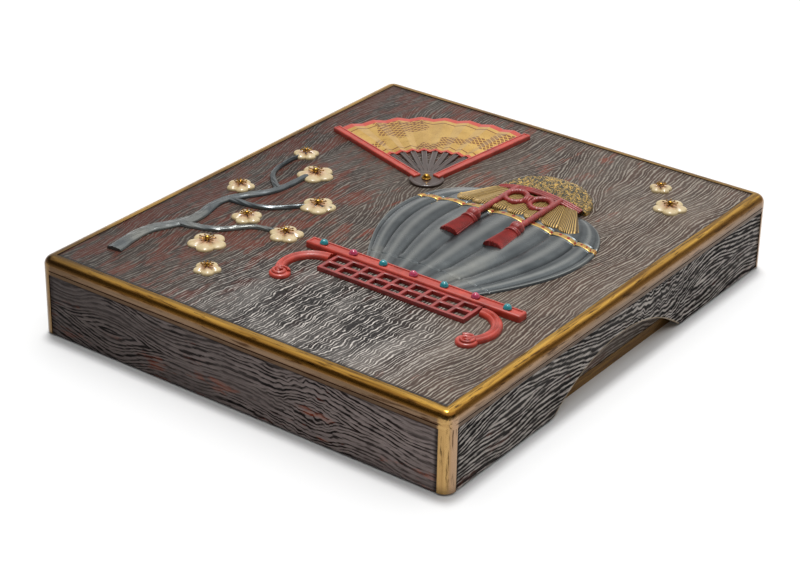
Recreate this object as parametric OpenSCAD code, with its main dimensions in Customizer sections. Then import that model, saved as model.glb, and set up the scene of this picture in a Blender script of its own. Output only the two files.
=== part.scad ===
// Document box with an overlapping lid: grained boards framed by rounded gold-lacquer mouldings.
// Millimetres. The origin is the middle of the underside, Z is up, X is the short side, Y the long side.
// The front is the short side at -Y. The relief on the lid stands upright along +Y.

/* [Box] */
// Width of the closed box, across its short side
lid_w = 318; // [304:1:380]
// Length of the closed box, along its long side
lid_l = 372; // [364:1:440]
// Height from the table to the top of the lid's edge moulding
box_h = 54.5; // [48:0.5:90]
// Gap between the lower edge of the lid and the table
skirt_gap = 1.2; // [0.6:0.1:4]
// Free gap between the lid and the lower box, on each side
lid_clearance = 0.4; // [0.2:0.05:1]

/* [Lid] */
// Thickness of the top board
top_board_t = 7; // [6:0.5:9]
// Width of the gold edging, which is also the radius of its rounded corner
edge_w = 8; // [7:0.5:10]
// Height of the gold edging on the side of the lid
edge_h = 11; // [11:0.5:14]
// Radius of the rounded top of the gold edging
edge_round = 6; // [4:0.5:7]
// Depth of the boards behind the face of the gold edging
panel_recess = 0.6; // [0.2:0.1:1]
// Height of the fine bead along the lower edge of the gold edging
bead_h = 2.3; // [1:0.1:3]
// Width and depth of the fine groove above that bead
bead_groove = 0.6; // [0.3:0.1:1]

/* [Finger notches] */
// Width of each finger notch at the lower edge of the lid
notch_w = 149; // [90:1:180]
// Height of each finger notch
notch_h = 26; // [14:0.5:28]
// Radius of the rounded ends of a notch
notch_round = 7; // [2:0.5:10]

/* [Joints] */
// Thickness of the tongues on the boards
tongue_t = 2; // [1.5:0.1:2.4]
// Length of the tongues on the boards
tongue_l = 2; // [1:0.1:2.4]
// Depth of a tongue below the face of its board
tongue_depth = 2.2; // [1.8:0.1:2.6]
// Height of the plain lower end of a corner post, below its grooves
tongue_stop = 5; // [2:0.5:8]
// Glue gap round each tongue and peg
glue_gap = 0.05; // [0.02:0.01:0.1]

/* [Lower box] */
// Thickness of the walls of the lower box
wall_t = 6; // [5:0.5:8]
// Depth of the boards of the lower box behind its gold edging
box_recess = 0.4; // [0.2:0.1:0.8]
// Height of the gold foot moulding
foot_h = 7.5; // [7:0.5:12]
// Thickness of the gold rim strip
rim_t = 2.5; // [1.5:0.1:4]
// Thickness of the bottom board
base_t = 6; // [5:0.5:9]
// Width of the ledge under the bottom board
ledge_w = 7; // [5:0.5:12]
// Thickness of that ledge
ledge_t = 2; // [1.5:0.1:3]
// Height of the ledge above the table
ledge_lift = 1; // [0.5:0.1:1.5]
// Diameter of the wooden pegs
peg_d = 2.4; // [1.5:0.1:4]
// Depth of the pegs in the bottom board
peg_bite = 4; // [2:0.5:4.5]
// Number of pegs along a short side
pegs_short = 4; // [2:1:6]
// Number of pegs along a long side
pegs_long = 5; // [2:1:7]

/* [Relief jar] */
// Thickness of a relief plate at its outline
plate_t = 1.5; // [1:0.25:2.5]
// Half width of the jar at its belly
jar_belly_r = 72; // [62:1:74]
// Half width of the jar at its foot
jar_foot_r = 41; // [34:1:46]
// Half width of the jar at its neck
jar_neck_r = 30; // [26:1:32]
// Height of the jar from foot to neck
jar_h = 134; // [124:1:136]
// Height of the belly as a share of the jar's height
jar_belly_at = 0.6; // [0.5:0.02:0.65]
// Rise of the jar's belly above its outline
jar_crown = 5; // [3:0.5:6]
// Half width of the gathered cap over the jar's mouth
cap_r = 35; // [30:1:38]
// Height of the gathered cap
cap_h = 32; // [24:1:36]
// Half width of the frill under the cap
frill_r = 48; // [43:1:50]
// Height of the frill down to its scallops
frill_h = 23; // [17:1:26]
// Number of scallops on the frill
frill_scallops = 7; // [5:1:9]
// Radius of the cord
cord_r = 2.2; // [1.6:0.1:2.8]
// Half distance between the two hanging cords
cord_spread = 17; // [14:1:20]
// Length of the hanging cords below the neck
cord_drop = 44; // [36:1:50]
// Half width of a tassel at its lower end
tassel_r = 7; // [5:0.5:9]
// Length of a tassel's skirt
tassel_h = 27; // [18:1:30]

/* [Relief stand] */
// Half width of the stand's plank
stand_r = 82; // [76:1:84]
// Height of the plank
plank_h = 9; // [7:0.5:12]
// Thickness of the plank
plank_t = 4.5; // [3:0.25:6]
// Half width of the lattice apron
apron_r = 56; // [48:1:58]
// Height of the lattice apron
apron_h = 21; // [16:1:24]
// Thickness of the lattice apron
apron_t = 3; // [2:0.25:4]
// Number of openings along the lattice
lattice_n = 9; // [5:1:11]
// Width of the bars of the lattice
lattice_bar = 2.4; // [1.6:0.1:3]
// Outer radius of the curved legs
leg_r = 24; // [21:0.5:26]
// Width of the curved legs
leg_w = 8; // [6:0.5:9]
// Thickness of the curved legs
leg_t = 4; // [3:0.25:5]
// Radius of the scroll at the end of a leg
scroll_r = 7; // [5.5:0.5:8]

/* [Relief fan] */
// Outer radius of the fan's leaf
fan_r = 104; // [94:1:106]
// Inner radius of the fan's leaf
fan_leaf_r = 46; // [40:1:56]
// Angle of the fan's first edge
fan_from = 84; // [80:1:90]
// Opening angle of the fan
fan_open = 78; // [60:1:80]
// Number of folds in the leaf
fan_folds = 16; // [10:2:20]
// Thickness of the leaf at the bottom of a fold
fold_low = 0.9; // [0.6:0.1:1.4]
// Thickness of the leaf at the top of a fold
fold_high = 2.5; // [1.8:0.1:3.5]
// Thickness of the sticks and guards
stick_t = 2; // [1.5:0.1:3]
// Width of the sticks
stick_w = 4; // [3:0.25:5]
// Width of the guards
guard_w = 6; // [4:0.5:8]
// Radius of the rivet's head
rivet_r = 3.4; // [2.5:0.1:4]

/* [Relief plum] */
// Thickness of the branch
branch_t = 2.6; // [1.5:0.1:4]
// Factor on the widths of the branch and its twigs
branch_fat = 1; // [0.8:0.05:1.2]
// Radius of the blossoms
blossom_r = 13; // [10:0.5:14]
// Rise of a petal
petal_rise = 2.6; // [1.8:0.1:3.5]
// Radius of the heart of a blossom
heart_r = 3.2; // [2.4:0.1:4]
// Radius of the beads along the stand's plank
bead_r = 2.9; // [2:0.1:3.2]

/* [Hidden] */
$fn = 96;
FINE_FN = 720;
CUT = 1;
SIDES = ["front", "right", "back", "left"];
CORNERS = ["front_right", "back_right", "back_left", "front_left"];

// Rectangle inside the lid's edging, whose corners are the axes of the rounded lid corners.
panel_w = lid_w - 2 * edge_w;
panel_l = lid_l - 2 * edge_w;
top_z = box_h - panel_recess;
under_z = top_z - top_board_t;
band_z = box_h - edge_h;
lid_side_t = edge_w - panel_recess;
lid_side_h = band_z - skirt_gap;
tongue_off = panel_recess + tongue_depth;
tongue_in = edge_w - tongue_off - tongue_t;
post_web = 0.5;
lid_tongue_l = min(tongue_l, tongue_in - post_web);
top_tongue_z = top_z - tongue_depth - tongue_t;

// Rectangle inside the walls of the lower box.
box_w = panel_w - 2 * lid_clearance;
box_l = panel_l - 2 * lid_clearance;
inner_w = box_w - 2 * wall_t;
inner_l = box_l - 2 * wall_t;
rim_z = under_z - rim_t;
box_side_t = wall_t - box_recess;
box_tongue_t = min(tongue_t, box_side_t / 3);
box_tongue_in = (box_side_t - box_tongue_t) / 2;
box_tongue_l = min(tongue_l, box_tongue_in - post_web);
ledge_top = ledge_lift + ledge_t;

// The notch is an arc of a circle, blended into the lower edge by two smaller circles.
notch_r = (notch_w * notch_w / 4 + notch_h * notch_h) / (2 * notch_h);
notch_cz = skirt_gap + notch_h - notch_r;
notch_fz = skirt_gap + notch_round;
notch_fy = sqrt(pow(notch_r + notch_round, 2) - pow(notch_fz - notch_cz, 2));
notch_ty = notch_fy * notch_r / (notch_r + notch_round);
notch_tz = notch_cz + (notch_fz - notch_cz) * notch_r / (notch_r + notch_round);

// The relief is set out from the middle of the top board, drawn for a board of the planned size.
plan_w = 302;
plan_l = 356;
spread_x = panel_w / plan_w;
spread_y = panel_l / plan_l;
jar_x = 46;
jar_y = -62;
jar_steps = 14;
relief_top = 30;
jar_lower = [
    for (i = [0 : jar_steps - 1])
    [jar_foot_r + (jar_belly_r - jar_foot_r) * sin(90 * i / jar_steps),
     jar_h * jar_belly_at * i / jar_steps]
];
jar_upper = [
    for (i = [0 : jar_steps])
    [jar_neck_r + (jar_belly_r - jar_neck_r) * cos(90 * i / jar_steps),
     jar_h * (jar_belly_at + (1 - jar_belly_at) * sin(90 * i / jar_steps))]
];
jar_half = concat(jar_lower, jar_upper);
jar_peak = plate_t + jar_crown;
cord_band_r = jar_neck_r + cord_r;
cord_band_h = 3 * cord_r;
cap_steps = 14;
cap_half = [for (i = [0 : cap_steps]) [cap_r * cos(90 * i / cap_steps), cap_h * sin(90 * i / cap_steps)]];
frill_share = 0.62;
frill_t = plate_t + jar_crown * frill_share;
frill_crown = 2.5;
scallop_lap = 1.08;
scallop_step = 2 * frill_r / (frill_scallops - 1 + scallop_lap);
scallop_r = scallop_lap * scallop_step / 2;
cord_lift = 0.3;
cord_z = jar_peak + cord_lift * cord_r;
knot_share = 0.44;
knot_r = cord_spread * knot_share;
knot_ball = 1.5;
tassel_head_share = 0.72;
tassel_head_r = tassel_head_share * tassel_r;
tassel_y = jar_h - cord_drop - tassel_head_r;
tassel_wall = 0.8;
tassel_t = jar_peak + tassel_wall;
stand_y = jar_y - plank_h;
leg_cx = apron_r + 2;
leg_sweep = 140;
lattice_rows = 2;
lattice_w = (2 * apron_r - lattice_bar) / lattice_n - lattice_bar;
lattice_h = (apron_h - lattice_bar) / lattice_rows - lattice_bar;
fan_x = -34 * spread_x;
fan_y = 58 * spread_y;
fan_step = fan_open / fan_folds;
sticks_n = fan_folds / 2;
fan_boss_r = 12;
guard_from = fan_boss_r / 2;
twig_steps = 6;

// Branch and twigs as [x, y, width] along the middle line, then blossoms as [x, y, size, turn].
// Their places are drawn for a board of the planned size and spread with the real one.
branch_plan = [
    [[-128, -150, 11], [-131, -118, 10], [-118, -86, 9], [-121, -52, 7.5], [-104, -20, 6.5], [-101, 12, 5]],
    [[-121, -96, 7], [-96, -88, 5.5], [-78, -70, 4.5], [-52, -66, 3]],
    [[-118, -48, 6], [-92, -44, 4.5], [-72, -26, 3.5], [-56, -18, 2.6]],
    [[-104, -16, 5], [-122, 2, 4], [-126, 28, 3], [-120, 46, 2.2]]
];
blossom_plan = [
    [-88, -106, 1, 10],
    [-56, -66, 0.9, 40],
    [-92, -62, 0.8, 65],
    [-66, -20, 0.95, 20],
    [-98, 18, 1, 5],
    [-124, 40, 0.7, 50],
    [-126, -28, 0.75, 30],
    [118, 124, 0.9, 15],
    [98, 146, 0.6, 44],
    [-64, -134, 0.7, 25]
];
branch_runs = [for (r = branch_plan) [for (p = r) [p[0] * spread_x, p[1] * spread_y, p[2]]]];
blossoms = [for (b = blossom_plan) [b[0] * spread_x, b[1] * spread_y, b[2], b[3]]];
petals = 5;
petal_share = 0.46;
petal_wall = 1.4;
petal_lip = 0.4;
heart_seat = 0.36;
heart_lift = 0.8;
heart_z = petal_wall + heart_lift * petal_rise;
beads_n = 7;

WOOD = "#574a41";
GOLD = "#b8862f";
PEWTER = "#767d80";
RED = "#b83a2a";
BROCADE = "#8a6d33";
TEAL = "#1f7f86";
RUBY = "#a8254a";
BLOSSOM = "#d9c9b4";
PEG = "#9a7a50";

// Placing: side k is front, right, back, left for k = 0 to 3, with its outside towards local -Y.
function is_short(k) = k % 2 == 0;
function run(k, w, l) = is_short(k) ? w : l;

module at_side(k, w, l) {
    rotate([0, 0, 90 * k])
        translate([0, -run(k, l, w) / 2, 0])
            children();
}

// Corner k follows side k, so corner 0 is the front right one.
module at_corner(k, w, l) {
    rotate([0, 0, 90 * k])
        translate([run(k, w, l) / 2, -run(k, l, w) / 2, 0])
            children();
}

// A moulding along one side: a straight run of the section and two eighth turns up to the mitres.
// The section's X is the distance outwards from the inner face.
module mitred_strip(length) {
    translate([length / 2, 0, 0])
        rotate([0, 0, -90])
            rotate([90, 0, 0])
                linear_extrude(length)
                    children();
    translate([length / 2, 0, 0])
        rotate([0, 0, -90])
            rotate_extrude(angle = 45)
                children();
    translate([-length / 2, 0, 0])
        rotate([0, 0, -135])
            rotate_extrude(angle = 45)
                children();
}

// Quarter-round stick for a corner, grooved for the tongues of the two boards that meet it.
module corner_post(r, z0, h, t_in, t_t, t_l) {
    slot = t_t + 2 * glue_gap;
    difference() {
        translate([0, 0, z0])
            rotate([0, 0, -90])
                rotate_extrude(angle = 90)
                    square([r, h]);
        translate([t_in - glue_gap, -t_l - glue_gap, z0 + tongue_stop])
            cube([slot, t_l + glue_gap + CUT, h]);
        translate([-CUT, -t_in - t_t - glue_gap, z0 + tongue_stop])
            cube([t_l + glue_gap + CUT, slot, h]);
    }
}

// Side board with a tongue at each end, its inner face on local Y = 0.
module tongued_board(length, t, z0, h, t_in, t_t, t_l) {
    translate([-length / 2, -t, z0])
        cube([length, t, h]);
    translate([-length / 2 - t_l, -t_in - t_t, z0 + tongue_stop])
        cube([length + 2 * t_l, t_t, h - tongue_stop]);
}

module rounded_rect(w, l, r) {
    square([w, l - 2 * r], center = true);
    square([w - 2 * r, l], center = true);
    for (x = [-1, 1], y = [-1, 1])
        translate([x * (w / 2 - r), y * (l / 2 - r)])
            circle(r = r);
}

// Lid

module lid_top_board() {
    color(WOOD) {
        translate([-panel_w / 2, -panel_l / 2, under_z])
            cube([panel_w, panel_l, top_board_t]);
        translate([0, 0, top_tongue_z])
            linear_extrude(tongue_t)
                rounded_rect(panel_w + 2 * tongue_l, panel_l + 2 * tongue_l, tongue_l);
    }
}

module lid_edge_section() {
    difference() {
        union() {
            square([edge_w, edge_h - edge_round]);
            square([edge_w - edge_round, edge_h]);
            translate([edge_w - edge_round, edge_h - edge_round])
                intersection() {
                    circle(r = edge_round);
                    square(edge_round);
                }
        }
        translate([-CUT, top_tongue_z - band_z - glue_gap])
            square([CUT + tongue_l + glue_gap, tongue_t + 2 * glue_gap]);
    }
}

// The fine groove ends at the corner posts.
module lid_edge(k) {
    length = run(k, panel_w, panel_l);
    color(GOLD)
        translate([0, 0, band_z])
            at_side(k, panel_w, panel_l)
                difference() {
                    mitred_strip(length)
                        lid_edge_section();
                    translate([-length / 2, -edge_w - CUT, bead_h])
                        cube([length, bead_groove + CUT, bead_groove]);
                }
}

module notch_shape() {
    difference() {
        polygon([
            [-notch_fy, skirt_gap - CUT],
            [-notch_fy, notch_fz],
            [-notch_ty, notch_tz],
            [notch_ty, notch_tz],
            [notch_fy, notch_fz],
            [notch_fy, skirt_gap - CUT]
        ]);
        for (s = [-1, 1])
            translate([s * notch_fy, notch_fz])
                circle(r = notch_round);
    }
    intersection() {
        translate([0, notch_cz])
            circle(r = notch_r);
        translate([-notch_ty, notch_tz])
            square([2 * notch_ty, notch_h]);
    }
}

module lid_side(k) {
    length = run(k, panel_w, panel_l);
    color(WOOD)
        at_side(k, panel_w, panel_l)
            difference() {
                tongued_board(length, lid_side_t, skirt_gap, lid_side_h, tongue_in, tongue_t, lid_tongue_l);
                if (!is_short(k))
                    translate([0, CUT, 0])
                        rotate([90, 0, 0])
                            linear_extrude(lid_side_t + 2 * CUT)
                                notch_shape();
            }
}

module lid_post(k) {
    color(GOLD)
        at_corner(k, panel_w, panel_l)
            corner_post(edge_w, skirt_gap, lid_side_h, tongue_in, tongue_t, lid_tongue_l);
}

// Relief

// A plate with the outline drawn by its children and a smooth crown from the half widths in half.
// The top is a turned surface whose axis lies so deep that every edge keeps the thickness t.
module crowned_plate(half, t, crown) {
    widest = max([for (p = half) p[0]]);
    deep = (widest * widest - crown * crown) / (2 * crown);
    last = len(half) - 1;
    turned = concat(
        [[0, half[0][1]]],
        [for (p = half) [sqrt(p[0] * p[0] + deep * deep), p[1]]],
        [[0, half[last][1]]]
    );
    intersection() {
        linear_extrude(relief_top)
            children();
        translate([0, 0, t - deep])
            rotate([-90, 0, 0])
                rotate_extrude($fn = FINE_FN)
                    polygon(turned);
    }
}

module both_halves(half) {
    last = len(half) - 1;
    polygon(concat(half, [for (i = [last : -1 : 0]) [-half[i][0], half[i][1]]]));
}

module on_jar() {
    translate([jar_x, jar_y, top_z])
        children();
}

module jar_plate() {
    crowned_plate(jar_half, plate_t, jar_crown)
        both_halves(jar_half);
}

module relief_jar() {
    color(PEWTER)
        on_jar()
            jar_plate();
}

module relief_jar_cap() {
    color(BROCADE)
        on_jar()
            translate([0, jar_h + cord_band_h, 0])
                crowned_plate([[cap_r, 0], [cap_r, cap_h]], frill_t, frill_crown)
                    both_halves(cap_half);
}

module frill_outline() {
    polygon([
        [-frill_r, jar_h - frill_h],
        [frill_r, jar_h - frill_h],
        [cord_band_r, jar_h],
        [-cord_band_r, jar_h]
    ]);
    for (i = [0 : frill_scallops - 1])
        translate([(i - (frill_scallops - 1) / 2) * scallop_step, jar_h - frill_h])
            circle(r = scallop_r);
}

module frill_plate() {
    crowned_plate([[frill_r, jar_h - frill_h - scallop_r], [frill_r, jar_h]], frill_t, frill_crown)
        frill_outline();
}

module relief_jar_frill() {
    color(BROCADE)
        on_jar()
            difference() {
                frill_plate();
                jar_plate();
            }
}

// Cord round the neck, a knot of two loops and two hanging ends.
module cord_band() {
    band = [[cord_band_r, jar_h], [cord_band_r, jar_h + cord_band_h]];
    crowned_plate(band, frill_t, frill_crown + cord_r)
        both_halves(band);
}

module cord_drops() {
    length = cord_drop + cord_band_h / 2;
    for (s = [-1, 1])
        translate([s * cord_spread, jar_h - cord_drop, 0]) {
            translate([-cord_r, 0, 0])
                cube([2 * cord_r, length, cord_z]);
            translate([0, 0, cord_z])
                rotate([-90, 0, 0])
                    cylinder(r = cord_r, h = length);
        }
}

module cord_loops() {
    for (s = [-1, 1])
        translate([s * (knot_r + cord_r), jar_h - knot_r - cord_r, cord_z])
            rotate_extrude()
                translate([knot_r, 0])
                    circle(r = cord_r);
    translate([0, jar_h - knot_r - cord_r, cord_z])
        sphere(r = knot_ball * cord_r);
}

module relief_cord() {
    color(RED)
        on_jar()
            difference() {
                union() {
                    cord_band();
                    cord_drops();
                    cord_loops();
                }
                frill_plate();
                jar_plate();
            }
}

module tassel() {
    skirt = [[tassel_r, -tassel_h], [tassel_head_r, 0]];
    crowned_plate(skirt, tassel_t, cord_r)
        both_halves(skirt);
    translate([0, 0, tassel_t])
        sphere(r = tassel_head_r);
}

module relief_tassels() {
    color(RED)
        on_jar()
            difference() {
                for (s = [-1, 1])
                    translate([s * cord_spread, tassel_y, 0])
                        tassel();
                jar_plate();
                cord_drops();
            }
}

module on_stand() {
    translate([jar_x, stand_y, top_z])
        children();
}

module relief_stand_plank() {
    color(RED)
        on_stand()
            linear_extrude(plank_t)
                translate([0, plank_h / 2])
                    rounded_rect(2 * stand_r, plank_h, plank_h / 3);
}

module relief_stand_apron() {
    color(RED)
        on_stand()
            translate([-apron_r, -apron_h, 0])
                difference() {
                    cube([2 * apron_r, apron_h, apron_t]);
                    for (i = [0 : lattice_n - 1], j = [0 : lattice_rows - 1])
                        translate([
                            lattice_bar + i * (lattice_w + lattice_bar),
                            lattice_bar + j * (lattice_h + lattice_bar),
                            -CUT
                        ])
                            cube([lattice_w, lattice_h, apron_t + 2 * CUT]);
                }
}

module leg_outline() {
    intersection() {
        difference() {
            circle(r = leg_r);
            circle(r = leg_r - leg_w);
        }
        polygon([
            [0, 0],
            [0, 2 * leg_r],
            [2 * leg_r, 2 * leg_r],
            [2 * leg_r, -2 * leg_r],
            2 * leg_r * [sin(leg_sweep), cos(leg_sweep)]
        ]);
    }
    translate((leg_r - leg_w / 2) * [sin(leg_sweep), cos(leg_sweep)])
        circle(r = scroll_r);
}

module relief_stand_legs() {
    color(RED)
        on_stand()
            linear_extrude(leg_t)
                for (s = [0, 1])
                    mirror([s, 0])
                        translate([leg_cx, -leg_r])
                            leg_outline();
}

// Fan: a point at radius r and angle a, with the leaf's thickness alternating from fold to fold.
function fan_at(r, i) = [r * cos(fan_from + i * fan_step), r * sin(fan_from + i * fan_step)];
function fold_t(i) = i % 2 == 0 ? fold_low : fold_high;

module fan_leaf() {
    n = fan_folds;
    points = [
        for (i = [0 : n])
        for (r = [fan_leaf_r, fan_r])
        for (z = [0, fold_t(i)])
        [fan_at(r, i)[0], fan_at(r, i)[1], z]
    ];
    strips = [
        for (i = [0 : n - 1])
        let (a = 4 * i, b = 4 * i + 4)
        each [
            [a, a + 2, b + 2],
            [a, b + 2, b],
            [a + 1, b + 1, b + 3],
            [a + 1, b + 3, a + 3],
            [a, b, b + 1],
            [a, b + 1, a + 1],
            [a + 2, a + 3, b + 3],
            [a + 2, b + 3, b + 2]
        ]
    ];
    ends = [
        [0, 1, 3],
        [0, 3, 2],
        [4 * n, 4 * n + 2, 4 * n + 3],
        [4 * n, 4 * n + 3, 4 * n + 1]
    ];
    polyhedron(points, concat(strips, ends));
}

module on_fan() {
    translate([fan_x, fan_y, top_z])
        children();
}

module relief_fan_leaf() {
    color(GOLD)
        on_fan()
            fan_leaf();
}

module relief_fan_sticks() {
    color(WOOD)
        on_fan()
            difference() {
                union() {
                    for (i = [0 : sticks_n - 1])
                        rotate([0, 0, fan_from + (2 * i + 1) * fan_step])
                            translate([0, -stick_w / 2, 0])
                                cube([fan_leaf_r * cos(fan_step), stick_w, stick_t]);
                    cylinder(r = fan_boss_r, h = stick_t);
                }
                fan_guards();
            }
}

module fan_guards() {
    linear_extrude(stick_t + fold_high / 2) {
        rotate(fan_from + fan_open)
            translate([guard_from, 0])
                square([fan_r - guard_from, guard_w]);
        rotate(fan_from)
            translate([guard_from, -guard_w])
                square([fan_r - guard_from, guard_w]);
    }
}

module relief_fan_guards() {
    color(RED)
        on_fan()
            fan_guards();
}

module relief_fan_rivet() {
    color(GOLD)
        on_fan()
            translate([0, 0, stick_t])
                intersection() {
                    sphere(r = rivet_r);
                    cylinder(r = rivet_r + CUT, h = rivet_r + CUT);
                }
}

// Plum: smooth middle lines through the given points, with a width that tapers along them.
function mix3(a, b, c, d, t) =
    0.5 * (2 * b + (c - a) * t + (2 * a - 5 * b + 4 * c - d) * t * t + (3 * b - a - 3 * c + d) * t * t * t);
function clamped(run, i) = run[max(0, min(len(run) - 1, i))];
function smooth(run) = concat(
    [
        for (i = [0 : len(run) - 2], j = [0 : twig_steps - 1])
        mix3(clamped(run, i - 1), run[i], run[i + 1], clamped(run, i + 2), j / twig_steps)
    ],
    [run[len(run) - 1]]
);
function heading(line, i) =
    let (d = clamped(line, i + 1) - clamped(line, i - 1))
    [-d[1], d[0]] / sqrt(d[0] * d[0] + d[1] * d[1]);
function flank(line, side) = [
    for (i = [0 : len(line) - 1])
    [line[i][0], line[i][1]] + heading(line, i) * side * branch_fat * line[i][2] / 2
];

module ribbon(run) {
    line = smooth(run);
    left = flank(line, 1);
    right = flank(line, -1);
    polygon(concat(left, [for (i = [len(right) - 1 : -1 : 0]) right[i]]));
}

// One blossom: a plate with the outline of its petals, and a shallow dome on each petal.
module each_petal(b) {
    for (i = [0 : petals - 1])
        rotate(b[3] + 360 * i / petals)
            translate([(1 - petal_share) * blossom_r * b[2], 0])
                children();
}

module blossom_outlines() {
    for (b = blossoms)
        translate([b[0], b[1]]) {
            each_petal(b)
                circle(r = petal_share * blossom_r * b[2]);
            circle(r = heart_seat * blossom_r * b[2]);
        }
}

module petal_cap(r) {
    ball_r = (r * r + petal_rise * petal_rise) / (2 * petal_rise);
    intersection() {
        translate([0, 0, petal_rise - ball_r])
            sphere(r = ball_r);
        cylinder(r = ball_r + CUT, h = relief_top);
    }
}

module on_top() {
    translate([0, 0, top_z])
        children();
}

module relief_plum_branch() {
    color(PEWTER)
        on_top()
            linear_extrude(branch_t)
                difference() {
                    for (r = branch_runs)
                        ribbon(r);
                    blossom_outlines();
                }
}

module relief_plum_blossoms() {
    color(BLOSSOM)
        on_top() {
            linear_extrude(petal_wall)
                blossom_outlines();
            for (b = blossoms)
                translate([b[0], b[1], petal_wall]) {
                    each_petal(b)
                        petal_cap(petal_share * blossom_r * b[2] - petal_lip);
                    cylinder(r = heart_seat * blossom_r * b[2], h = heart_z - petal_wall);
                }
        }
}

module dome(r) {
    intersection() {
        sphere(r = r);
        cylinder(r = r + CUT, h = r + CUT);
    }
}

module relief_blossom_hearts() {
    color(GOLD)
        on_top()
            for (b = blossoms)
                translate([b[0], b[1], heart_z])
                    dome(heart_r * b[2]);
}

module plank_beads(first) {
    for (i = [first : 2 : beads_n - 1])
        translate([(i - (beads_n - 1) / 2) * 2 * stand_r / beads_n, plank_h / 2, plank_t])
            dome(bead_r);
}

module relief_teal_beads() {
    color(TEAL)
        on_stand()
            plank_beads(0);
}

module relief_ruby_beads() {
    color(RUBY)
        on_stand()
            plank_beads(1);
}

// Lower box

module peg_row(length, count, d) {
    for (i = [0 : count - 1])
        translate([(i - (count - 1) / 2) * length / count, ledge_w / 2, 0])
            cylinder(d = d, h = ledge_top + peg_bite);
}

module all_pegs(d) {
    for (k = [0 : 3])
        at_side(k, inner_w, inner_l)
            peg_row(run(k, inner_w, inner_l), is_short(k) ? pegs_short : pegs_long, d);
}

module base_pegs() {
    color(PEG)
        difference() {
            all_pegs(peg_d);
            translate([-box_w / 2, -box_l / 2, -CUT])
                cube([box_w, box_l, CUT + ledge_lift]);
        }
}

module base_board() {
    color(WOOD)
        difference() {
            translate([-inner_w / 2, -inner_l / 2, ledge_top])
                cube([inner_w, inner_l, base_t]);
            all_pegs(peg_d + 2 * glue_gap);
        }
}

// Plan of a flat strip along one side of the lower box, rounded at the corners and cut at the mitres.
module strip_plan(length) {
    intersection() {
        union() {
            translate([-length / 2, -wall_t])
                square([length, wall_t]);
            for (s = [-1, 1])
                translate([s * length / 2, 0])
                    circle(r = wall_t);
        }
        polygon([
            [-length / 2, 0],
            [length / 2, 0],
            [length / 2 + wall_t, -wall_t],
            [-length / 2 - wall_t, -wall_t]
        ]);
    }
}

module foot(k) {
    length = run(k, inner_w, inner_l);
    color(GOLD)
        at_side(k, inner_w, inner_l)
            difference() {
                union() {
                    linear_extrude(foot_h)
                        strip_plan(length);
                    translate([0, 0, ledge_lift])
                        linear_extrude(ledge_t)
                            polygon([
                                [-length / 2, 0],
                                [length / 2, 0],
                                [length / 2 - ledge_w, ledge_w],
                                [ledge_w - length / 2, ledge_w]
                            ]);
                }
                peg_row(length, is_short(k) ? pegs_short : pegs_long, peg_d + 2 * glue_gap);
            }
}

module box_side(k) {
    color(WOOD)
        at_side(k, inner_w, inner_l)
            tongued_board(
                run(k, inner_w, inner_l),
                box_side_t,
                foot_h,
                rim_z - foot_h,
                box_tongue_in,
                box_tongue_t,
                box_tongue_l
            );
}

module box_post(k) {
    color(GOLD)
        at_corner(k, inner_w, inner_l)
            corner_post(wall_t, foot_h, rim_z - foot_h, box_tongue_in, box_tongue_t, box_tongue_l);
}

module rim(k) {
    color(GOLD)
        translate([0, 0, rim_z])
            at_side(k, inner_w, inner_l)
                linear_extrude(rim_t)
                    strip_plan(run(k, inner_w, inner_l));
}

// Drawing

lid_top_board();
for (k = [0 : 3]) {
    lid_edge(k);
    lid_side(k);
    lid_post(k);
    foot(k);
    box_side(k);
    box_post(k);
    rim(k);
}
relief_jar();
relief_jar_cap();
relief_jar_frill();
relief_cord();
relief_tassels();
relief_stand_plank();
relief_stand_apron();
relief_stand_legs();
relief_fan_leaf();
relief_fan_sticks();
relief_fan_guards();
relief_fan_rivet();
relief_plum_branch();
relief_plum_blossoms();
relief_blossom_hearts();
relief_teal_beads();
relief_ruby_beads();
base_board();
base_pegs();
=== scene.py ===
# %% [markdown]
# A document box with an overlapping lid. Its boards are cedar, brushed until the hard rings of the grain
# stand up, and all its edges are rounded mouldings in gold lacquer. On the lid sits a raised picture in
# coloured lacquer: a tea jar on a low stand, a folding fan and a plum branch.
# The boards and mouldings come ready from the construction model. They only need their finish.
# The raised picture is modelled here again, piece by piece, because lacquer relief lives from fine carving.

# %% Load the construction model
from functools import partial
from math import atan2, copysign, cos, degrees, exp, pi, radians, sin, sqrt
from types import SimpleNamespace

import bmesh
import bpy
from mathutils import Matrix, Vector
from mathutils.noise import noise


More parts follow.
